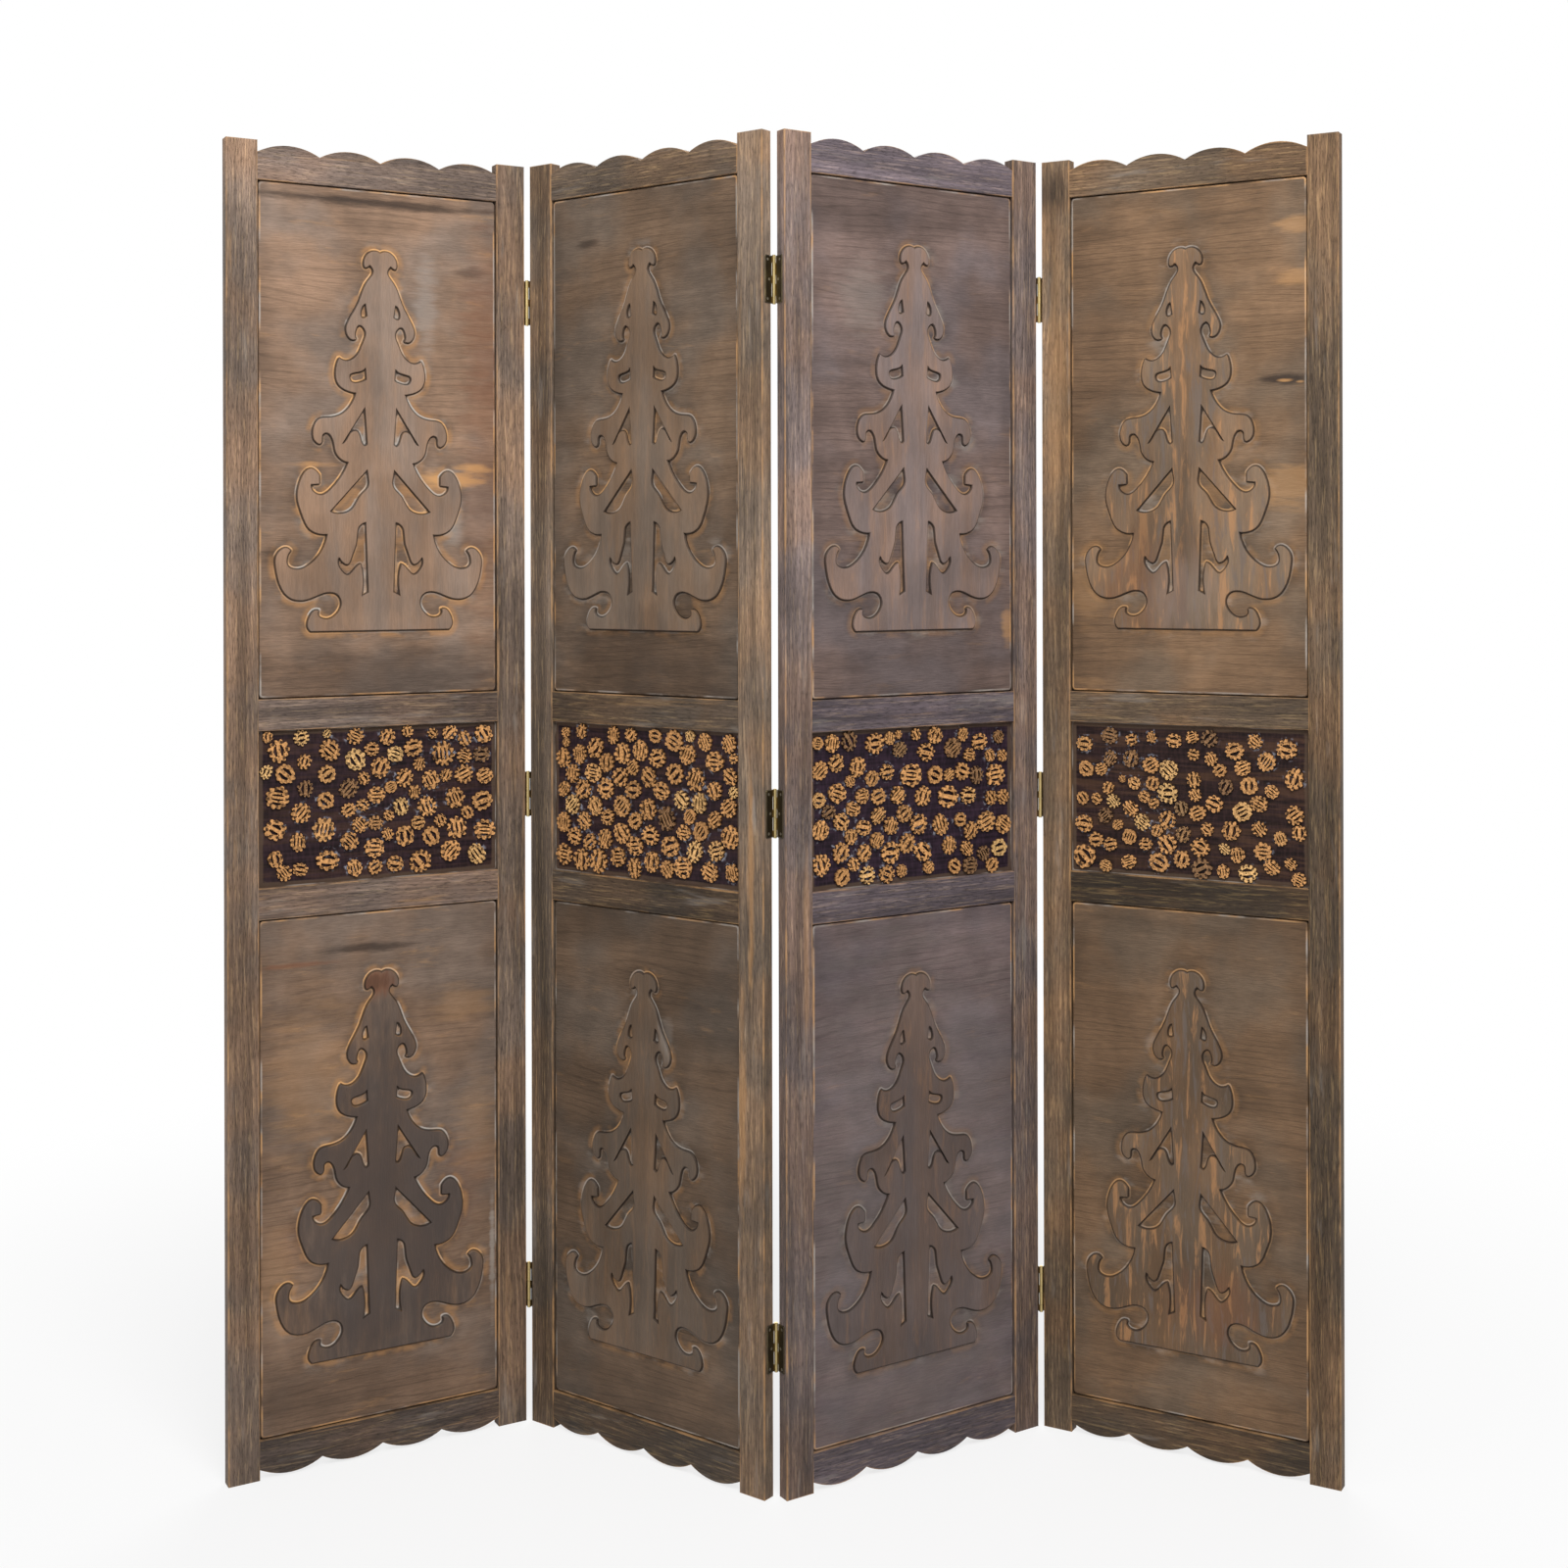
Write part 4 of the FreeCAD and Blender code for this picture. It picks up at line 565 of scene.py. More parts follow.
def make_shell():
    """Sawn nut shell: a golden rim, dark pores and chambers, each slice in its own shade."""
    shader, finish = new_shader("sawn_nut_shell"), bpy.context.scene.screen_finish
    u, v, w = shader.directions("slice_place")
    seed = shader.attribute("seed")
    far = (u * u + v * v) ** 0.5
    grit = shader.noise(shader.vector(u, v, seed * 7.3), 4.5, 3, 0.65)
    first, second = shader.chance(seed), shader.chance(seed + 31.7)
    paint = shader.mix(first.rise(0.92, 0.95), finish.shell, finish.pale_shell)
    paint = shader.mix(second.rise(0.92, 0.95) * 0.85, paint, finish.dull_shell)
    paint = shader.tone(paint, grit.rise(0.3, 0.7) * 0.75 + second * 0.3 + 0.35)
    count = (first * 3.99 + 6).whole()
    turn = v.turned(u)
    uneven = shader.noise(shader.vector(u, v, seed * 2.9), 1.6)
    spokes = (turn * count + uneven * 4 + seed).wave().rise(0.6, 0.78)
    holes = spokes * far.rise(0.6, 0.66) * far.rise(0.88, 0.82) * second.rise(0.15, 0.25)
    pores = shader.cells(shader.vector(u, v, seed * 4.1), 3.4).rise(0.26, 0.18) * far.rise(0.8, 0.7)
    holes = holes.most(pores)
    paint = shader.mix(holes * 0.96, paint, finish.pore)
    paint = shader.mix(w.rise(0.05, 0.45) * 0.75, paint, finish.pore)
    return shader.finish(paint, 0.6 - grit * 0.1, grit - holes * 2, 0.0009, specular=0.2)


def make_hinge_metal(centre):
    """Bright brass on the knuckles and darkened plates beside them."""
    shader, finish = new_shader("hinge_metal"), bpy.context.scene.screen_finish
    x, y, z = shader.split(shader.place())
    x, y = x - centre.x, y - centre.y
    far = (x * x + y * y) ** 0.5
    scratches = shader.noise(shader.vector(x * 260, y * 260, z * 60), 1, 4, 0.6)
    tarnish = shader.noise(shader.vector(x * 60, y * 60, z * 40), 1, 3, 0.6)
    plate = (far / MM + tarnish * 1.2).rise(3.1, 3.8)
    bright = shader.tone(finish.brass, scratches * 0.6 + tarnish * 0.5 + 0.4)
    dark = shader.mix(tarnish.rise(0.45, 0.75) * 0.5, finish.bronze, shader.tone(finish.brass, 0.45))
    rough = 0.22 + scratches * 0.2 + plate * 0.14
    return shader.finish(shader.mix(plate, bright, dark), rough, scratches, 0.00005, metallic=1.0)


def make_screw_metal():
    """Dull plated steel."""
    shader, steel = new_shader("screw_metal"), bpy.context.scene.screen_finish.steel
    wear = shader.noise(shader.place(), 900, 3, 0.6)
    return shader.finish(shader.tone(steel, wear * 0.8 + 0.4), 0.3 + wear * 0.2, wear, 0.00004, metallic=1.0)


# Shapes drawn in a leaf's own axes

class Leaf:
    """One leaf: its place in the frame, and what its CAD pieces measure along its own axes.

    X runs across the leaf from its left edge, Y from the viewer's side to the back, Z up from the floor.
    """

    def __init__(self, number):
        self.number = number
        self.body = f"leaf_{number}"
        self.slot = f"{STAIN[number]}_stained_wood"
        left, right = (sum(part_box(self.node(f"stile_{side}")), Vector()) / 2 for side in ("left", "right"))
        turn = math.atan2(right.y - left.y, right.x - left.x)
        middle = (left + right) / 2
        middle.z = 0
        upright = Matrix.Translation(middle) @ Matrix.Rotation(turn, 4, "Z")
        self.matrix = upright
        self.matrix = upright @ Matrix.Translation((self.span("stile_left")[0].x, 0, 0))

    def node(self, name):
        """The full name of one of the leaf's CAD pieces."""
        return f"leaf_{self.number}_{name}"

    def shape(self, name):
        """A merged copy of a CAD piece's mesh along the leaf's own axes."""
        bm = bmesh.new()
        bm.from_mesh(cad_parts[self.node(name)].data)
        bm.transform(self.matrix.inverted())
        bmesh.ops.remove_doubles(bm, verts=bm.verts, dist=NEAR)
        return bm

    def span(self, name):
        """Lowest and highest corner of a CAD piece along the leaf's own axes."""
        bm = self.shape(name)
        corners = span_of(bm.verts)
        bm.free()
        return corners

    def inside(self):
        """Where the opening between the leaf's stiles begins and ends."""
        return self.span("stile_left")[1].x, self.span("stile_right")[0].x


def leaves():
    """The leaves from left to right."""
    return [Leaf(number) for number in LEAVES]


def span_of(verts):
    """Lowest and highest corner of some vertices."""
    low = Vector(min(vert.co[axis] for vert in verts) for axis in range(3))
    high = Vector(max(vert.co[axis] for vert in verts) for axis in range(3))
    return low, high


def new_shape():
    """An empty shape with the values that the shaders read."""
    bm = bmesh.new()
    for name in ("grain", "slice_place"):
        bm.verts.layers.float_vector.new(name)
    for name in ("seed", "shade", "chill", "height", "edge", "cut", "ledge", "rim"):
        bm.verts.layers.float.new(name)
    return bm


def set_value(bm, name, verts, number):
    """Store one of the shaders' values on some vertices."""
    layer = bm.verts.layers.float[name]
    for vert in verts:
        vert[layer] = number


def add_object(name, data):
    """Put a new object in the scene."""
    made = bpy.data.objects.new(name, data)
    bpy.context.scene.collection.objects.link(made)
    return made


def add_piece(
    leaf, name, node, bm, material, shade=1.0, seed=None, chill=0.0, upright=False, smooth=False,
):
    """Turn a shape drawn in the leaf's axes into a finished piece that stands for a CAD node."""
    grain = bm.verts.layers.float_vector["grain"]
    height = bm.verts.layers.float["height"]
    for vert in bm.verts:
        vert[grain] = vert.co.zxy if upright else vert.co.xzy
        vert[height] = vert.co.z
    for value, number in (("seed", seed), ("shade", shade), ("chill", chill)):
        if number is not None:
            set_value(bm, value, bm.verts, number)
    for face in bm.faces:
        face.smooth = smooth
    bm.transform(leaf.matrix)
    mesh = bpy.data.meshes.new(f"{name}_{leaf.number}")
    bm.to_mesh(mesh)
    bm.free()
    mesh.materials.append(material)
    piece = add_object(mesh.name, mesh)
    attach(piece, leaf.body)
    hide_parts(leaf.node(node))
    return piece


def round_edges(bm, edges, radius):
    """Round some edges."""
    bmesh.ops.bevel(
        bm, geom=edges, offset=radius, offset_type="OFFSET", segments=2, profile=0.5,
        affect="EDGES", material=-1, clamp_overlap=True,
    )


def wear_edges(bm, width, directions):
    """Mark a shape as worn, and let the wear fade out a little way in on its faces along some directions."""
    set_value(bm, "edge", bm.verts, 1)
    for direction in directions:
        broad = [face for face in bm.faces if abs(face.normal.dot(Vector(direction))) > PARALLEL]
        bmesh.ops.inset_individual(bm, faces=broad, thickness=width, use_even_offset=True)
        inner = {vert for face in broad for vert in face.verts}
        set_value(bm, "edge", inner, 0)


def draw_block(bm, low, high):
    """Add a block between two corners."""
    made = bmesh.ops.create_cube(bm, size=1)
    bmesh.ops.scale(bm, vec=high - low, verts=made["verts"])
    bmesh.ops.translate(bm, vec=(low + high) / 2, verts=made["verts"])


def level_edges(bm, height):
    """The edges of a shape that lie at one height."""
    return [edge for edge in bm.edges if all(abs(vert.co.z - height) < NEAR for vert in edge.verts)]


def verts_in(geom):
    """The vertices among what a mesh operation made."""
    return [item for item in geom if isinstance(item, bmesh.types.BMVert)]


LOBE_STEPS = 12


def draw_scalloped_rail(bm, low, high, lobes, depth, upwards):
    """Add a rail whose upper or lower edge is a row of shallow arcs."""
    step = (high.x - low.x) / lobes
    radius = (step ** 2 / 4 + depth ** 2) / (2 * depth)
    half_angle = math.asin(step / 2 / radius)
    crest, flat = (high.z, low.z) if upwards else (low.z, high.z)
    way = 1 if upwards else -1
    vert = start = bm.verts.new((low.x, low.y, crest - way * depth))
    for lobe in range(lobes):
        centre = Vector((low.x + (lobe + 0.5) * step, low.y, crest - way * radius))
        arc = bmesh.ops.spin(
            bm, geom=[vert], cent=centre, axis=(0, 1, 0), angle=2 * half_angle * way, steps=LOBE_STEPS,
        )
        vert = verts_in(arc["geom_last"])[0]
    corners = [bm.verts.new((x, low.y, flat)) for x in (high.x, low.x)]
    for first, second in zip([vert, *corners], [*corners, start]):
        bm.edges.new((first, second))
    face = bmesh.ops.contextual_create(bm, geom=bm.edges[:])["faces"][0]
    moved = bmesh.ops.extrude_face_region(bm, geom=[face])["geom"]
    bmesh.ops.translate(bm, vec=(0, high.y - low.y, 0), verts=verts_in(moved))
    bmesh.ops.recalc_face_normals(bm, faces=bm.faces)


def house_rail(bm, left, right, depth):
    """Run a rail's two ends on into the stiles."""
    for vert in bm.verts:
        for end, way in ((left, -depth), (right, depth)):
            if abs(vert.co.x - end) < NEAR:
                vert.co.x += way


def spread(low, high, rim, cell):
    """Places along one side of a panel: at the given steps from both ends, even between them."""
    count = max(1, round((high - low - 2 * rim[-1]) / cell))
    start, end = low + rim[-1], high - rim[-1]
    middle = [start + (end - start) * step / count for step in range(1, count)]
    return [low + step for step in rim] + middle + [high - step for step in reversed(rim)]


OPENINGS = {
    "upper": ("upper_middle_rail", "top_rail"), "board": ("lower_middle_rail", "upper_middle_rail"),
    "lower": ("bottom_rail", "lower_middle_rail"),
}


def opening_of(leaf, name):
    """The lower left and upper right corner of one of a leaf's openings."""
    left, right = leaf.inside()
    below, above = OPENINGS[name]
    return Vector((left, 0, leaf.span(below)[1].z)), Vector((right, 0, leaf.span(above)[0].z))


def inside_rounded(x, z, low, high, corner):
    """How far inside a rounded rectangle a place lies, below zero outside it."""
    across = abs(x - (low.x + high.x) / 2) - (high.x - low.x) / 2 + corner
    up = abs(z - (low.z + high.z) / 2) - (high.z - low.z) / 2 + corner
    outside = math.hypot(max(across, 0), max(up, 0))
    return corner - outside - min(max(across, up), 0)


SAMPLE_STEP = 0.7 * MM
SAMPLES_TRIED = 4


class TreeOutline:
    """The outline of one fir tree, for measuring how far off it a place lies."""

    def __init__(self, leaf, above):
        bm = tree_face(leaf, above)
        self.faces = BVHTree.FromBMesh(bm)
        self.edges = [
            [vert.co.xz.to_3d() for vert in edge.verts] for edge in bm.edges if edge.is_boundary
        ]
        bm.free()
        self.tree = KDTree(sum(self.samples(edge) for edge in self.edges))
        for number, (start, end) in enumerate(self.edges):
            count = self.samples((start, end))
            for step in range(count):
                self.tree.insert(start.lerp(end, (step + 0.5) / count), number)
        self.tree.balance()

    @staticmethod
    def samples(edge):
        """How many points stand for an edge."""
        return 1 + int((edge[0] - edge[1]).length / SAMPLE_STEP)

    def distance(self, x, z):
        """Distance to the outline in millimetres, below zero on the tree."""
        spot = Vector((x, z, 0))
        nearest = math.inf
        for number in {number for _, number, _ in self.tree.find_n(spot, SAMPLES_TRIED)}:
            start, end = self.edges[number]
            _, along = intersect_point_line(spot, start, end)
            foot = start.lerp(end, min(max(along, 0), 1))
            nearest = min(nearest, (spot - foot).length)
        on_tree = self.faces.ray_cast(Vector((x, -1, z)), Vector((0, 1, 0)))[0] is not None
        return nearest / MM * (-1 if on_tree else 1)


def tree_face(leaf, above):
    """The flat front of one of a leaf's two trees, above or below its board."""
    bm = leaf.shape("fir_trees")
    low, high = span_of(bm.verts)
    middle = (low.z + high.z) / 2
    spare = [
        face for face in bm.faces
        if face.calc_center_median().y > low.y + NEAR
        or (face.calc_center_median().z > middle) != above
    ]
    bmesh.ops.delete(bm, geom=spare, context="FACES")
    return bm


# Millimetres from a tree or rim that stand for well away, and the gap's depth against the panel's
FAR_OFF = 100
GAP_DEPTH = 0.45
RIM_STEPS = (-1, 0.9, 1.2, 1.35, 1.7, 2.3, 3.2, 4.6, 6.4)
DISTANCES = {}


def tree_distances(leaf, above, xs, zs):
    """How far each crossing of a panel's mesh lies from the tree, worked out once for all leaves."""
    if above not in DISTANCES:
        outline = TreeOutline(leaf, above)
        DISTANCES[above] = [[outline.distance(x, z) for z in zs] for x in xs]
    return DISTANCES[above]


def draw_panel(bm, leaf, low, high, opening, above):
    """Add a panel: a raised field with a soft rim, and a shallow dish round its tree."""
    sizes, trees = bpy.context.scene.screen_joinery, bpy.context.scene.screen_trees
    rim_steps = [step * MM for step in RIM_STEPS]
    xs = spread(opening[0].x, opening[1].x, rim_steps, sizes.cell)
    zs = spread(opening[0].z, opening[1].z, rim_steps, sizes.cell)
    off = tree_distances(leaf, above, xs, zs)
    bmesh.ops.create_grid(bm, x_segments=len(xs) - 1, y_segments=len(zs) - 1, size=1)
    bmesh.ops.rotate(bm, cent=(0, 0, 0), matrix=Matrix.Rotation(QUARTER_TURN, 3, "X"), verts=bm.verts)
    gap = Vector((sizes.field_gap, 0, sizes.field_gap))
    rim, cut, ledge = (bm.verts.layers.float[name] for name in ("rim", "cut", "ledge"))
    rounding = sizes.field_rounding
    for vert in bm.verts:
        column = round((vert.co.x + 1) / 2 * (len(xs) - 1))
        row = round((vert.co.z + 1) / 2 * (len(zs) - 1))
        x, z = xs[column], zs[row]
        inside = inside_rounded(x, z, opening[0] + gap, opening[1] - gap, sizes.field_corner)
        fall = rounding - min(max(inside, 0), rounding)
        round_off = rounding - math.sqrt(rounding ** 2 - fall ** 2)
        dish = trees.dish_depth * math.exp(-max(off[column][row], 0) * MM / trees.dish_width)
        depth = round_off + dish if inside >= 0 else (high.y - low.y) * GAP_DEPTH
        vert.co = (x, low.y + depth, z)
        vert[rim] = inside / MM
        vert[cut] = off[column][row]
        lower, upper = max(row - 1, 0), min(row + 1, len(zs) - 1)
        # Ledge tells which way the tree's outline faces here; the shader paints a highlight where it faces up
        vert[ledge] = (off[column][upper] - off[column][lower]) * MM / (zs[upper] - zs[lower])
    border = [item for item in bm.edges if item.is_boundary]
    back = bmesh.ops.extrude_edge_only(bm, edges=border)["geom"]
    for vert in verts_in(back):
        vert.co.y = high.y
        vert[rim] = vert[cut] = FAR_OFF
        vert[ledge] = 0
    bmesh.ops.contextual_create(bm, geom=[item for item in bm.edges if item.is_boundary])
    bmesh.ops.recalc_face_normals(bm, faces=bm.faces)


def join_shape(bm, part):
    """Add one shape to another, and free it."""
    mesh = bpy.data.meshes.new("part")
    part.to_mesh(mesh)
    part.free()
    bm.from_mesh(mesh)
    bpy.data.meshes.remove(mesh)


# Steps of a tree's rounded edge, as shares of its width and drop
EDGE_STEPS = ((0.33, 1.0), (0.67, 0.3))
TREE_TOP = 0.25


def draw_tree(bm, leaf, above):
    """Add one fir tree: its flat face, a rounded edge and a seat in the panel."""
    trees = bpy.context.scene.screen_trees
    low, _ = leaf.span("fir_trees")
    thickness = leaf.span("upper_panel")[0].y - low.y + trees.seat
    join_shape(bm, tree_face(leaf, above))
    front = bm.faces[:]
    grown = bmesh.ops.extrude_face_region(bm, geom=front, use_keep_orig=True)["geom"]
    ahead = [item for item in grown if isinstance(item, bmesh.types.BMFace)]
    behind = {vert for item in front for vert in item.verts}
    bmesh.ops.translate(bm, vec=(0, thickness, 0), verts=list(behind))
    bmesh.ops.recalc_face_normals(bm, faces=bm.faces)
    set_value(bm, "edge", bm.verts, 1)
    done = set(behind)
    for width, drop in EDGE_STEPS:
        bmesh.ops.inset_region(
            bm, faces=ahead, thickness=trees.edge * width, use_even_offset=False, use_boundary=True,
        )
        top = {vert for item in ahead for vert in item.verts}
        shoulder = [vert for vert in bm.verts if vert not in top and vert not in done]
        bmesh.ops.translate(bm, vec=(0, trees.drop * drop, 0), verts=shoulder)
        done.update(shoulder)
    set_value(bm, "edge", top, TREE_TOP)
    bm.normal_update()
    # Ledge holds how far each point faces up, for the painted highlight on the trees' up-facing edges
    ledge = bm.verts.layers.float["ledge"]
    for vert in bm.verts:
        vert[ledge] = vert.normal.z


# Nut shell slices

class Slice:
    """One slice's place on the board, read from the CAD piece."""

    def __init__(self, verts):
        low, high = span_of(verts)
        self.centre = (low + high) / 2
        self.front = low.y
        self.back = high.y
        self.radius = max(high.x - low.x, high.z - low.z) / 2

    def order(self):
        """Sorts the slices of a board from its lower left to its upper right."""
        return self.centre.z, self.centre.x


def find_slices(leaf):
    """Measure each separate slice of a leaf's CAD piece."""
    bm = leaf.shape("nut_slices")
    left = set(bm.verts)
    slices = []
    while left:
        island = [left.pop()]
        for vert in island:
            for edge in vert.link_edges:
                other = edge.other_vert(vert)
                if other in left:
                    left.discard(other)
                    island.append(other)
        slices.append(Slice(island))
    bm.free()
    return sorted(slices, key=Slice.order)


BOARD_CUTS = 80


def draw_board(bm, leaf, housing):
    """Add a slice board, with its front divided to hold how near each slice is."""
    low, high = (
        Vector((corner.x, side.y, corner.z))
        for corner, side in zip(opening_of(leaf, "board"), leaf.span("slice_board"))
    )
    margin = Vector((housing, 0, housing))
    draw_block(bm, low - margin, high + margin)
    edges = [edge for face in bm.faces if face.normal.y < -0.5 for edge in face.edges]
    bmesh.ops.subdivide_edges(bm, edges=edges, cuts=BOARD_CUTS, use_grid_fill=True)
    slices = find_slices(leaf)
    cut, rim = bm.verts.layers.float["cut"], bm.verts.layers.float["rim"]
    for vert in bm.verts:
        vert[cut] = vert[rim] = FAR_OFF
        if vert.co.y < (low.y + high.y) / 2:
            vert[cut] = min(math.dist(vert.co.xz, disc.centre.xz) - disc.radius for disc in slices) / MM
            vert[rim] = inside_rounded(vert.co.x, vert.co.z, low, high, 0) / MM


SLICE_OVERLAP = 0.5 * MM
RIM_GAP = 0.3 * MM


def grow_slices(slices, opening):
    """Let each slice spread until it nearly meets its neighbours or the frame."""
    growth = bpy.context.scene.screen_slices.growth
    plain_radii = [cut.radius for cut in slices]
    for cut, radius in zip(slices, plain_radii):
        free = [
            (math.dist(cut.centre.xz, other.centre.xz) - radius - reach) / 2
            for other, reach in zip(slices, plain_radii) if other is not cut
        ]
        x, z = cut.centre.xz
        sides = (x - opening[0].x, opening[1].x - x, z - opening[0].z, opening[1].z - z)
        room = min(radius + max(min(free), 0) + SLICE_OVERLAP, max(min(sides) - RIM_GAP, radius))
        cut.radius = min(radius * growth, room)


# Rise and fall of one tooth, then the ranges that the slices' chances are drawn from
TOOTH = (0.0, 0.85, 1.0)
SMALL_RADIUS, LARGE_RADIUS = 7 * MM, 14 * MM
SHARPNESS, THICKNESS, ROUNDNESS = (0.6, 1.4), (0.85, 1.1), (0.86, 1)
TOOTH_CHANGE = (-1, 0.3)
CHAMBER_CORNERS = 6
FLAT_ANGLE = 0.1
# Chambers as middle, half length, half width and bend, in shares of the slice's radius
CHAMBERS = (
    ((0, 0.25, 0.6, 0.19, 0.12), (0, -0.25, 0.6, 0.19, -0.12)),
    (
        (0, 0.14, 0.54, 0.1, 0.04), (0, -0.14, 0.54, 0.1, -0.04),
        (0, 0.45, 0.42, 0.13, 0.08), (0, -0.45, 0.42, 0.13, -0.08),
    ),
    ((0, 0, 0.6, 0.1, 0), (0, 0.36, 0.48, 0.13, 0.08), (0, -0.36, 0.48, 0.13, -0.08)),
    ((0, 0.22, 0.5, 0.17, 0.12), (0, -0.22, 0.5, 0.17, -0.12)),
    ((0.04, 0.16, 0.6, 0.2, 0.18), (-0.05, -0.36, 0.52, 0.16, -0.1)),
)


def draw_slice(bm, cut, seed, chance):
    """Add one slice: a toothed rim round its chambers, cut to its thickness and a little askew."""
    sizes = bpy.context.scene.screen_slices
    part = new_shape()
    grow = min(max((cut.radius - SMALL_RADIUS) / (LARGE_RADIUS - SMALL_RADIUS), 0), 1)
    teeth = round(sizes.fewest_teeth + (sizes.most_teeth - sizes.fewest_teeth) * grow + chance.uniform(-1, 1))
    bmesh.ops.create_circle(part, segments=len(TOOTH) * teeth, radius=1)
    sharpness = chance.uniform(*SHARPNESS)
    for number, vert in enumerate(part.verts):
        if number % len(TOOTH) == 0:
            uneven = 1 + chance.uniform(*TOOTH_CHANGE) * sizes.unevenness
        height = TOOTH[number % len(TOOTH)]
        vert.co *= (1 - (1 - height) * (1 - sizes.valley) * sharpness) * (uneven if height else 1)
    for x, y, half_length, half_width, bend in chance.choice(CHAMBERS):
        made = bmesh.ops.create_circle(part, segments=CHAMBER_CORNERS, radius=1)["verts"]
        for vert in made:
            arch = bend * (1 - vert.co.x ** 2)
            vert.co = Vector((x + vert.co.x * half_length, y + arch + vert.co.y * half_width, 0))
    bmesh.ops.triangle_fill(part, use_beauty=True, edges=part.edges[:])
    bmesh.ops.dissolve_limit(
        part, angle_limit=FLAT_ANGLE, use_dissolve_boundaries=False, verts=part.verts[:], edges=part.edges[:],
    )
    grown = bmesh.ops.extrude_face_region(part, geom=part.faces[:], use_keep_orig=True)["geom"]
    place = part.verts.layers.float_vector["slice_place"]
    front = verts_in(grown)
    for vert in part.verts:
        vert[place] = (vert.co.x, vert.co.y, 1)
    for vert in front:
        vert[place] = (vert.co.x, vert.co.y, 0)
    thickness = (cut.back - cut.front) / cut.radius
    bmesh.ops.translate(part, vec=(0, 0, thickness * chance.uniform(*THICKNESS)), verts=front)
    bmesh.ops.recalc_face_normals(part, faces=part.faces)
    lean = [chance.uniform(-1, 1) * sizes.lean for _ in range(2)]
    part.transform(
        Matrix.Translation((cut.centre.x, cut.back, cut.centre.z))
        @ Matrix.Rotation(QUARTER_TURN, 4, "X")
        @ Matrix.Rotation(lean[0], 4, "X") @ Matrix.Rotation(lean[1], 4, "Y")
        @ Matrix.Rotation(chance.uniform(0, 2 * math.pi), 4, "Z")
        @ Matrix.Diagonal((cut.radius, cut.radius * chance.uniform(*ROUNDNESS), cut.radius, 1))
    )
    set_value(part, "seed", part.verts, seed)
    join_shape(bm, part)


# Operators

# Shades of each leaf's pieces, from left to right or from the top down; the lower panels' and trees' shades
# also hold painted shade for the light falling off towards the floor
STILE_SHADES = {1: (0.98, 0.85), 2: (0.86, 1.16), 3: (0.98, 0.8), 4: (1.18, 0.74)}
RAIL_SHADES = {
    1: (0.8, 0.72, 0.88, 0.68), 2: (0.66, 0.42, 0.53, 0.53),
    3: (0.88, 0.58, 0.7, 0.65), 4: (0.8, 0.78, 0.31, 0.55),
}
PANEL_SHADES = {1: (1.06, 0.82), 2: (0.78, 0.6), 3: (0.75, 0.78), 4: (1.04, 0.86)}
TREE_SHADES = {1: (1.24, 0.72), 2: (0.96, 0.72), 3: (1.08, 0.64), 4: (1.16, 0.78)}
BOARD_SHADES = {1: 0.4, 2: 0.5, 3: 1.0, 4: 0.0}

# How cold each leaf's rails and its upper and lower panel are
RAIL_CHILL = {1: 0.3, 2: 0.0, 3: 0.9, 4: 0.0}
PANEL_CHILL = {1: (0.0, 0.0), 2: (0.0, 0.0), 3: (0.2, 0.5), 4: (0.0, 0.0)}

# What tells the grain of like pieces apart
STILE_SEEDS = {"left": 0.31, "right": 0.77}
PANEL_SEEDS = {"upper": 0.4, "lower": 0.9}
TREE_SEEDS = {"upper": 0.2, "lower": 0.6}
RAIL_SEEDS = {"top_rail": 0.05, "upper_middle_rail": 0.24, "lower_middle_rail": 0.43, "bottom_rail": 0.62}
BOARD_SEED = 1.7
SLICE_SEEDS = (3.7, 0.61)


SHARP_ANGLE = math.radians(50)
RAIL_ROUNDING = 0.5


class MakeStiles(bpy.types.Operator):
    """Make the eight upright stiles, rounded and worn along their edges"""

    bl_idname = "folding_screen.make_stiles"
    bl_label = "Make Stiles"

    def execute(self, context):
        sizes = context.scene.screen_joinery
        for leaf in leaves():
            wood = make_frame_wood(leaf.number)
            for (side, seed), shade in zip(STILE_SEEDS.items(), STILE_SHADES[leaf.number]):
                low, high = leaf.span(f"stile_{side}")
                bm = new_shape()
                draw_block(bm, low, high)
                round_edges(bm, level_edges(bm, low.z) + level_edges(bm, high.z), sizes.end_radius)
                long_edges = [edge for edge in bm.edges if edge.calc_length() > (high.z - low.z) / 2]
                round_edges(bm, long_edges, sizes.edge_radius)
                wear_edges(bm, sizes.wear_width, [(0, 1, 0), (1, 0, 0)])
                add_piece(
                    leaf, f"{side}_stile", f"stile_{side}", bm, wood, shade, leaf.number + seed, upright=True,
                )
        return {"FINISHED"}


class MakeRails(bpy.types.Operator):
    """Make the sixteen rails, the top and bottom ones with their scallops"""

    bl_idname = "folding_screen.make_rails"
    bl_label = "Make Rails"

    def execute(self, context):
        sizes = context.scene.screen_joinery
        for leaf in leaves():
            wood = bpy.data.materials[f"{STAIN[leaf.number]}_frame_wood"]
            left, right = leaf.inside()
            for (rail, seed), shade in zip(RAIL_SEEDS.items(), RAIL_SHADES[leaf.number]):
                low, high = leaf.span(rail)
                low.x, high.x = left, right
                bm = new_shape()
                if "middle" in rail:
                    draw_block(bm, low, high)
                else:
                    draw_scalloped_rail(bm, low, high, sizes.scallops, sizes.scallop_depth, rail == "top_rail")
                lengthwise = [edge for edge in bm.edges if abs(edge.verts[0].co.x - edge.verts[1].co.x) > 0]
                round_edges(bm, lengthwise, sizes.edge_radius * RAIL_ROUNDING)
                wear_edges(bm, sizes.wear_width, [(0, 1, 0)])
                house_rail(bm, left, right, sizes.housing)
                add_piece(leaf, rail, rail, bm, wood, shade, leaf.number + seed, RAIL_CHILL[leaf.number])
        return {"FINISHED"}


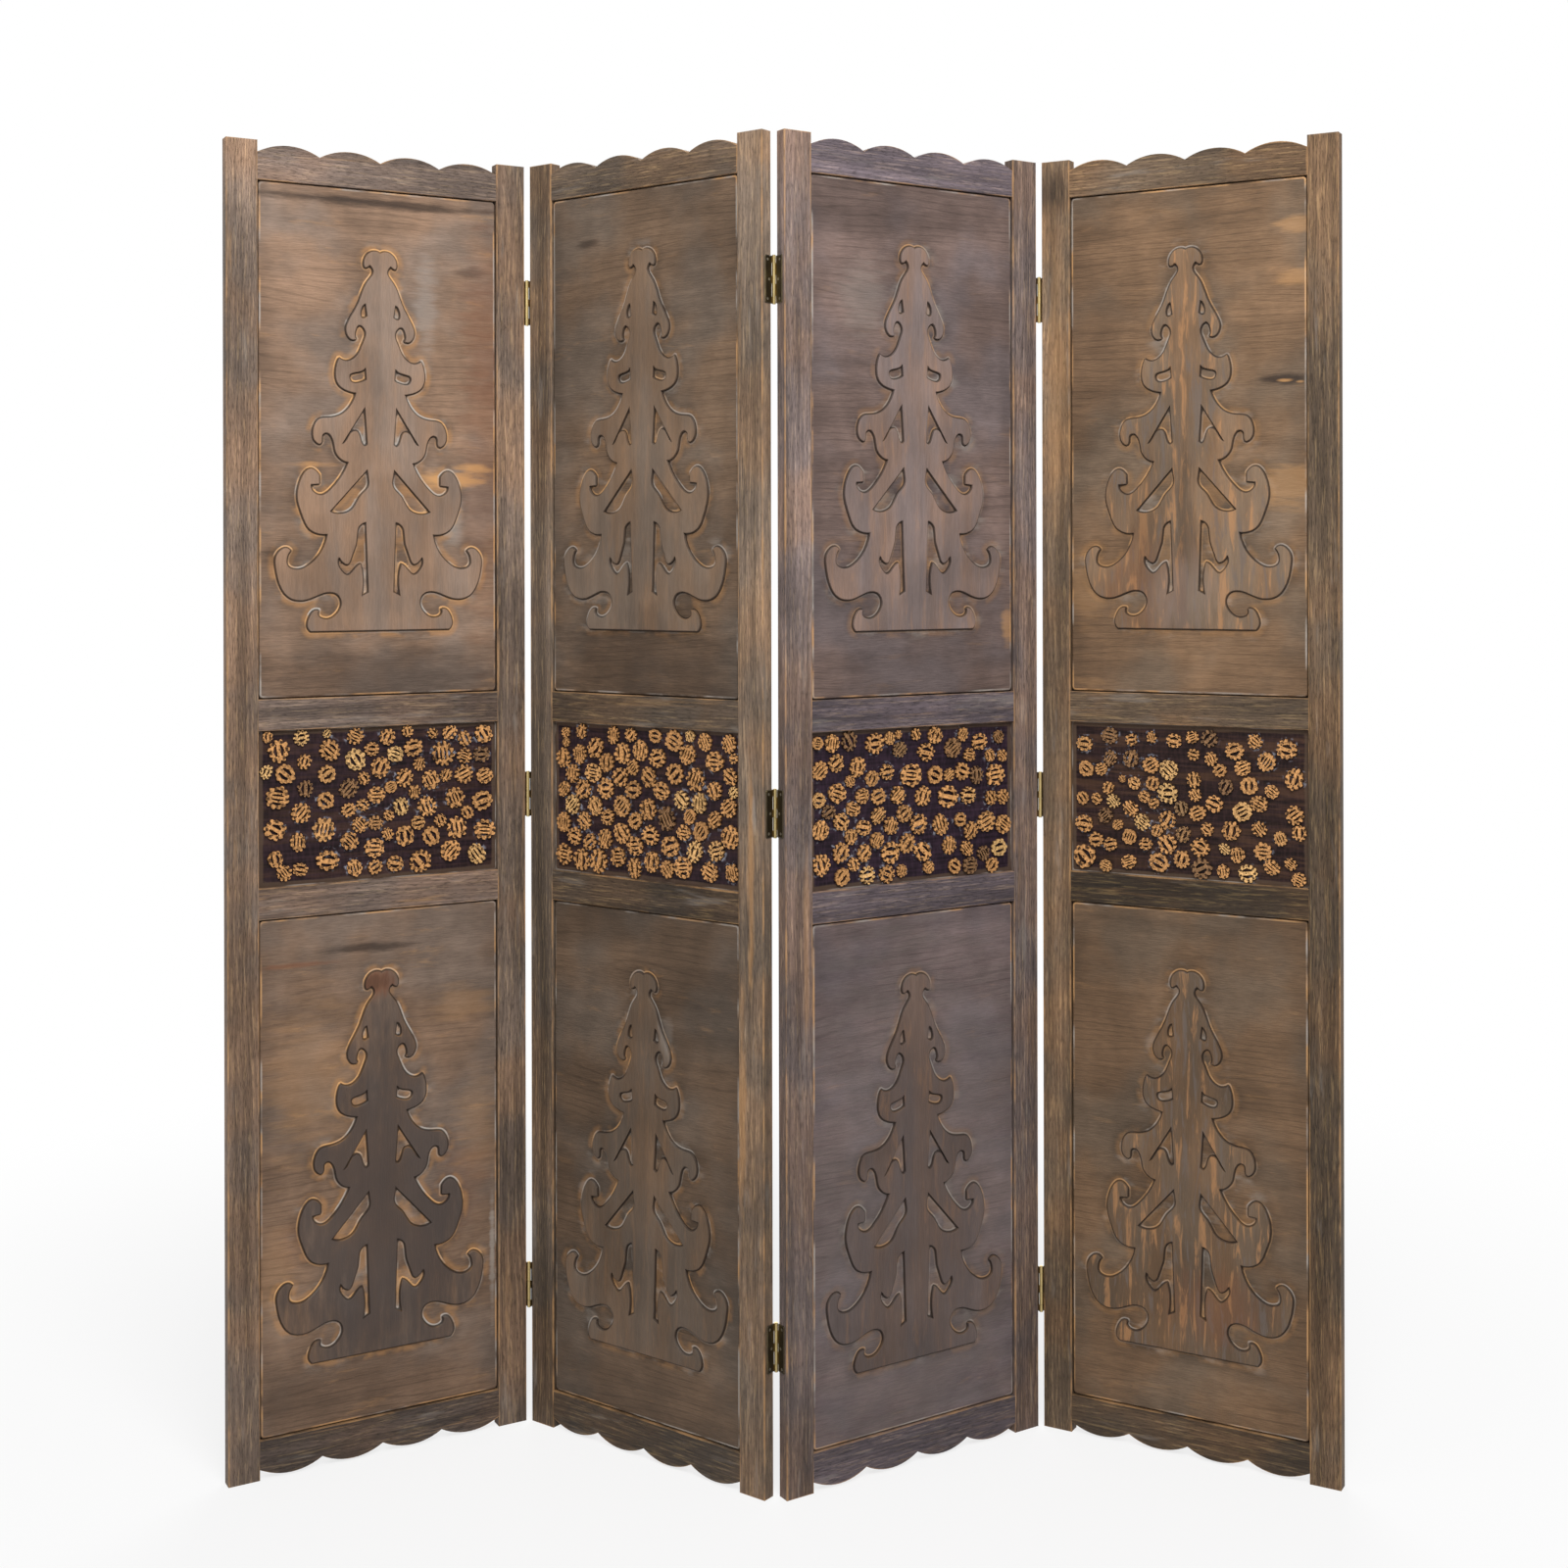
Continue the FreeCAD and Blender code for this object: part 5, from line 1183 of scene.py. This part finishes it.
class MakePanels(bpy.types.Operator):
    """Make the eight raised panels"""

    bl_idname = "folding_screen.make_panels"
    bl_label = "Make Panels"

    def execute(self, context):
        for leaf in leaves():
            wood = make_panel_wood(leaf.number)
            shades, chills = PANEL_SHADES[leaf.number], PANEL_CHILL[leaf.number]
            for (side, seed), shade, chill in zip(PANEL_SEEDS.items(), shades, chills):
                name = f"{side}_panel"
                bm = new_shape()
                draw_panel(bm, leaf, *leaf.span(name), opening_of(leaf, side), side == "upper")
                piece = add_piece(leaf, name, name, bm, wood, shade, leaf.number + seed, chill, smooth=True)
                piece.data.set_sharp_from_angle(angle=SHARP_ANGLE)
        return {"FINISHED"}


class MakeTrees(bpy.types.Operator):
    """Make the eight fir trees"""

    bl_idname = "folding_screen.make_trees"
    bl_label = "Make Trees"

    def execute(self, context):
        for leaf in leaves():
            wood = make_tree_wood(leaf.number)
            for (side, seed), shade in zip(TREE_SEEDS.items(), TREE_SHADES[leaf.number]):
                bm = new_shape()
                draw_tree(bm, leaf, side == "upper")
                add_piece(
                    leaf, f"{side}_tree", "fir_trees", bm, wood, shade, leaf.number + seed, upright=True,
                )
        return {"FINISHED"}


class MakeBoards(bpy.types.Operator):
    """Make the four dark boards that carry the slices"""

    bl_idname = "folding_screen.make_boards"
    bl_label = "Make Boards"

    def execute(self, context):
        wood = make_board_wood()
        for leaf in leaves():
            bm = new_shape()
            draw_board(bm, leaf, context.scene.screen_joinery.housing)
            add_piece(
                leaf, "slice_board", "slice_board", bm, wood, BOARD_SHADES[leaf.number],
                leaf.number * BOARD_SEED,
            )
        return {"FINISHED"}


class MakeSlices(bpy.types.Operator):
    """Make the sawn nut shell slices, each with its own seed"""

    bl_idname = "folding_screen.make_slices"
    bl_label = "Make Slices"

    def execute(self, context):
        shell = make_shell()
        leaf_step, slice_step = SLICE_SEEDS
        for leaf in leaves():
            chance = random.Random(leaf.number)
            bm = new_shape()
            slices = find_slices(leaf)
            grow_slices(slices, opening_of(leaf, "board"))
            for number, cut in enumerate(slices):
                draw_slice(bm, cut, leaf.number * leaf_step + number * slice_step, chance)
            add_piece(leaf, "nut_slices", "nut_slices", bm, shell)
        return {"FINISHED"}


class FinishHinges(bpy.types.Operator):
    """Give the hinges and their screws their metals"""

    bl_idname = "folding_screen.finish_hinges"
    bl_label = "Finish Hinges"

    def execute(self, context):
        screws = make_screw_metal()
        for line in ("12", "23", "34"):
            low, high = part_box(f"hinge_{line}_pins")
            metal = make_hinge_metal((low + high) / 2)
            for name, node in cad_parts.items():
                if name.startswith(f"hinge_{line}"):
                    node.data.materials.clear()
                    node.data.materials.append(screws if "screws" in name else metal)
        return {"FINISHED"}


# Stage

IMAGE_SIZE = 1600
SENSOR = 36
WHITE, PALE = (1, 1, 1), (0.82, 0.82, 0.82)
FLOOR_SIZE = 30
# Lights as name, size, place and target
LIGHTS = (
    ("key", 1.8, (0.5, -2.5, 3.5), (0, 0, 1.2)),
    ("fill", 2.5, (-3.2, -2.4, 1.6), (0, 0, 0.9)),
    ("back", 2.5, (0.4, 3.2, 2.8), (0, 0, 0.9)),
)


def seen_directly(shader):
    """1 for what the camera sees, also in or through something, and 0 for light that falls on the screen."""
    path = shader.node("ShaderNodeLightPath")
    camera, glossy, clear = (
        Number(shader, path.outputs[f"Is {kind} Ray"]) for kind in ("Camera", "Glossy", "Transmission")
    )
    return camera.most(glossy).most(clear)


class SetStage(bpy.types.Operator):
    """Set up the floor, the background, the lights and the camera"""

    bl_idname = "folding_screen.set_stage"
    bl_label = "Set Stage"

    def execute(self, context):
        stage = context.scene.screen_stage
        self.make_floor()
        self.make_sky(stage.sky)
        for name, size, place, target in LIGHTS:
            self.make_light(f"{name}_light", getattr(stage, name), size, place, target)
        self.make_camera(stage)
        context.scene.view_settings.view_transform = "Standard"
        return {"FINISHED"}

    def make_floor(self):
        """A pale floor that is white where no shadow falls on it."""
        bm = bmesh.new()
        bmesh.ops.create_grid(bm, x_segments=1, y_segments=1, size=FLOOR_SIZE)
        mesh = bpy.data.meshes.new("floor")
        bm.to_mesh(mesh)
        bm.free()
        shader = new_shader("pale_floor")
        x, y, _ = shader.split(shader.place())
        far = (x * x + y * y) ** 0.5
        factor = seen_directly(shader) * far.rise(0.6, 2.2).span(0.76, 1)
        matt = shader.node("ShaderNodeBsdfDiffuse", values={"Color": PALE})
        glow = shader.node("ShaderNodeEmission", values={"Color": WHITE, "Strength": 1})
        both = shader.node("ShaderNodeMixShader", values={0: factor, 1: matt.outputs[0], 2: glow.outputs[0]})
        shader.node("ShaderNodeOutputMaterial", values={"Surface": both.outputs[0]})
        mesh.materials.append(shader.owner)
        floor = add_object("floor", mesh)

    def make_sky(self, strength):
        """White where it is seen, and a plainer even light on the screen."""
        shader = Shader(bpy.data.worlds.new("studio"))
        level = seen_directly(shader).span(strength, 1)
        light = shader.node("ShaderNodeBackground", values={"Color": WHITE, "Strength": level})
        shader.node("ShaderNodeOutputWorld", values={"Surface": light.outputs[0]})
        bpy.context.scene.world = shader.owner

    def make_light(self, name, power, size, place, target):
        """A square soft light turned to a target."""
        data = bpy.data.lights.new(name, "AREA")
        data.energy = power
        data.size = size
        light = add_object(name, data)
        light.location = place
        light.rotation_euler = (Vector(target) - Vector(place)).to_track_quat("-Z", "Y").to_euler()

    def make_camera(self, stage):
        """The photograph's view: a level camera, shifted down to take in the feet."""
        data = bpy.data.cameras.new("camera")
        data.lens = stage.lens
        data.sensor_width = SENSOR
        data.shift_x = (IMAGE_SIZE / 2 - stage.axis_column) / IMAGE_SIZE
        data.shift_y = (stage.horizon - IMAGE_SIZE / 2) / IMAGE_SIZE
        camera = add_object("camera", data)
        camera.location = stage.camera_place
        level = Matrix.Rotation(QUARTER_TURN, 3, "X")
        camera.rotation_euler = (level @ Matrix.Rotation(-stage.camera_roll, 3, "Z")).to_euler()
        bpy.context.scene.camera = camera


STEPS = (MakeStiles, MakeRails, MakePanels, MakeTrees, MakeBoards, MakeSlices, FinishHinges, SetStage)


class ScreenPanel(bpy.types.Panel):
    """Lists the steps in the sidebar"""

    bl_idname = "VIEW3D_PT_folding_screen"
    bl_label = "Folding Screen"
    bl_space_type = "VIEW_3D"
    bl_region_type = "UI"
    bl_category = "Folding Screen"

    def draw(self, context):
        for step in STEPS:
            self.layout.operator(step.bl_idname)
        for name in GROUPS:
            group = getattr(context.scene, name)
            box = self.layout.box()
            for key in group.__annotations__:
                box.prop(group, key)


GROUPS = {
    "screen_joinery": JoineryProperties,
    "screen_trees": TreeProperties,
    "screen_slices": SliceProperties,
    "screen_finish": FinishProperties,
    "screen_stage": StageProperties,
}


def register():
    """Register the settings, the steps and the sidebar panel."""
    for name, group in GROUPS.items():
        bpy.utils.register_class(group)
        setattr(bpy.types.Scene, name, PointerProperty(type=group))
    for kind in (*STEPS, ScreenPanel):
        bpy.utils.register_class(kind)


def unregister():
    """Take everything out again."""
    for kind in (ScreenPanel, *reversed(STEPS)):
        bpy.utils.unregister_class(kind)
    for name, group in GROUPS.items():
        delattr(bpy.types.Scene, name)
        bpy.utils.unregister_class(group)


def main():
    """Dress the screen and set the stage."""
    register()
    for step in STEPS:
        module, name = step.bl_idname.split(".")
        getattr(getattr(bpy.ops, module), name)()


if __name__ == "__main__":
    main()
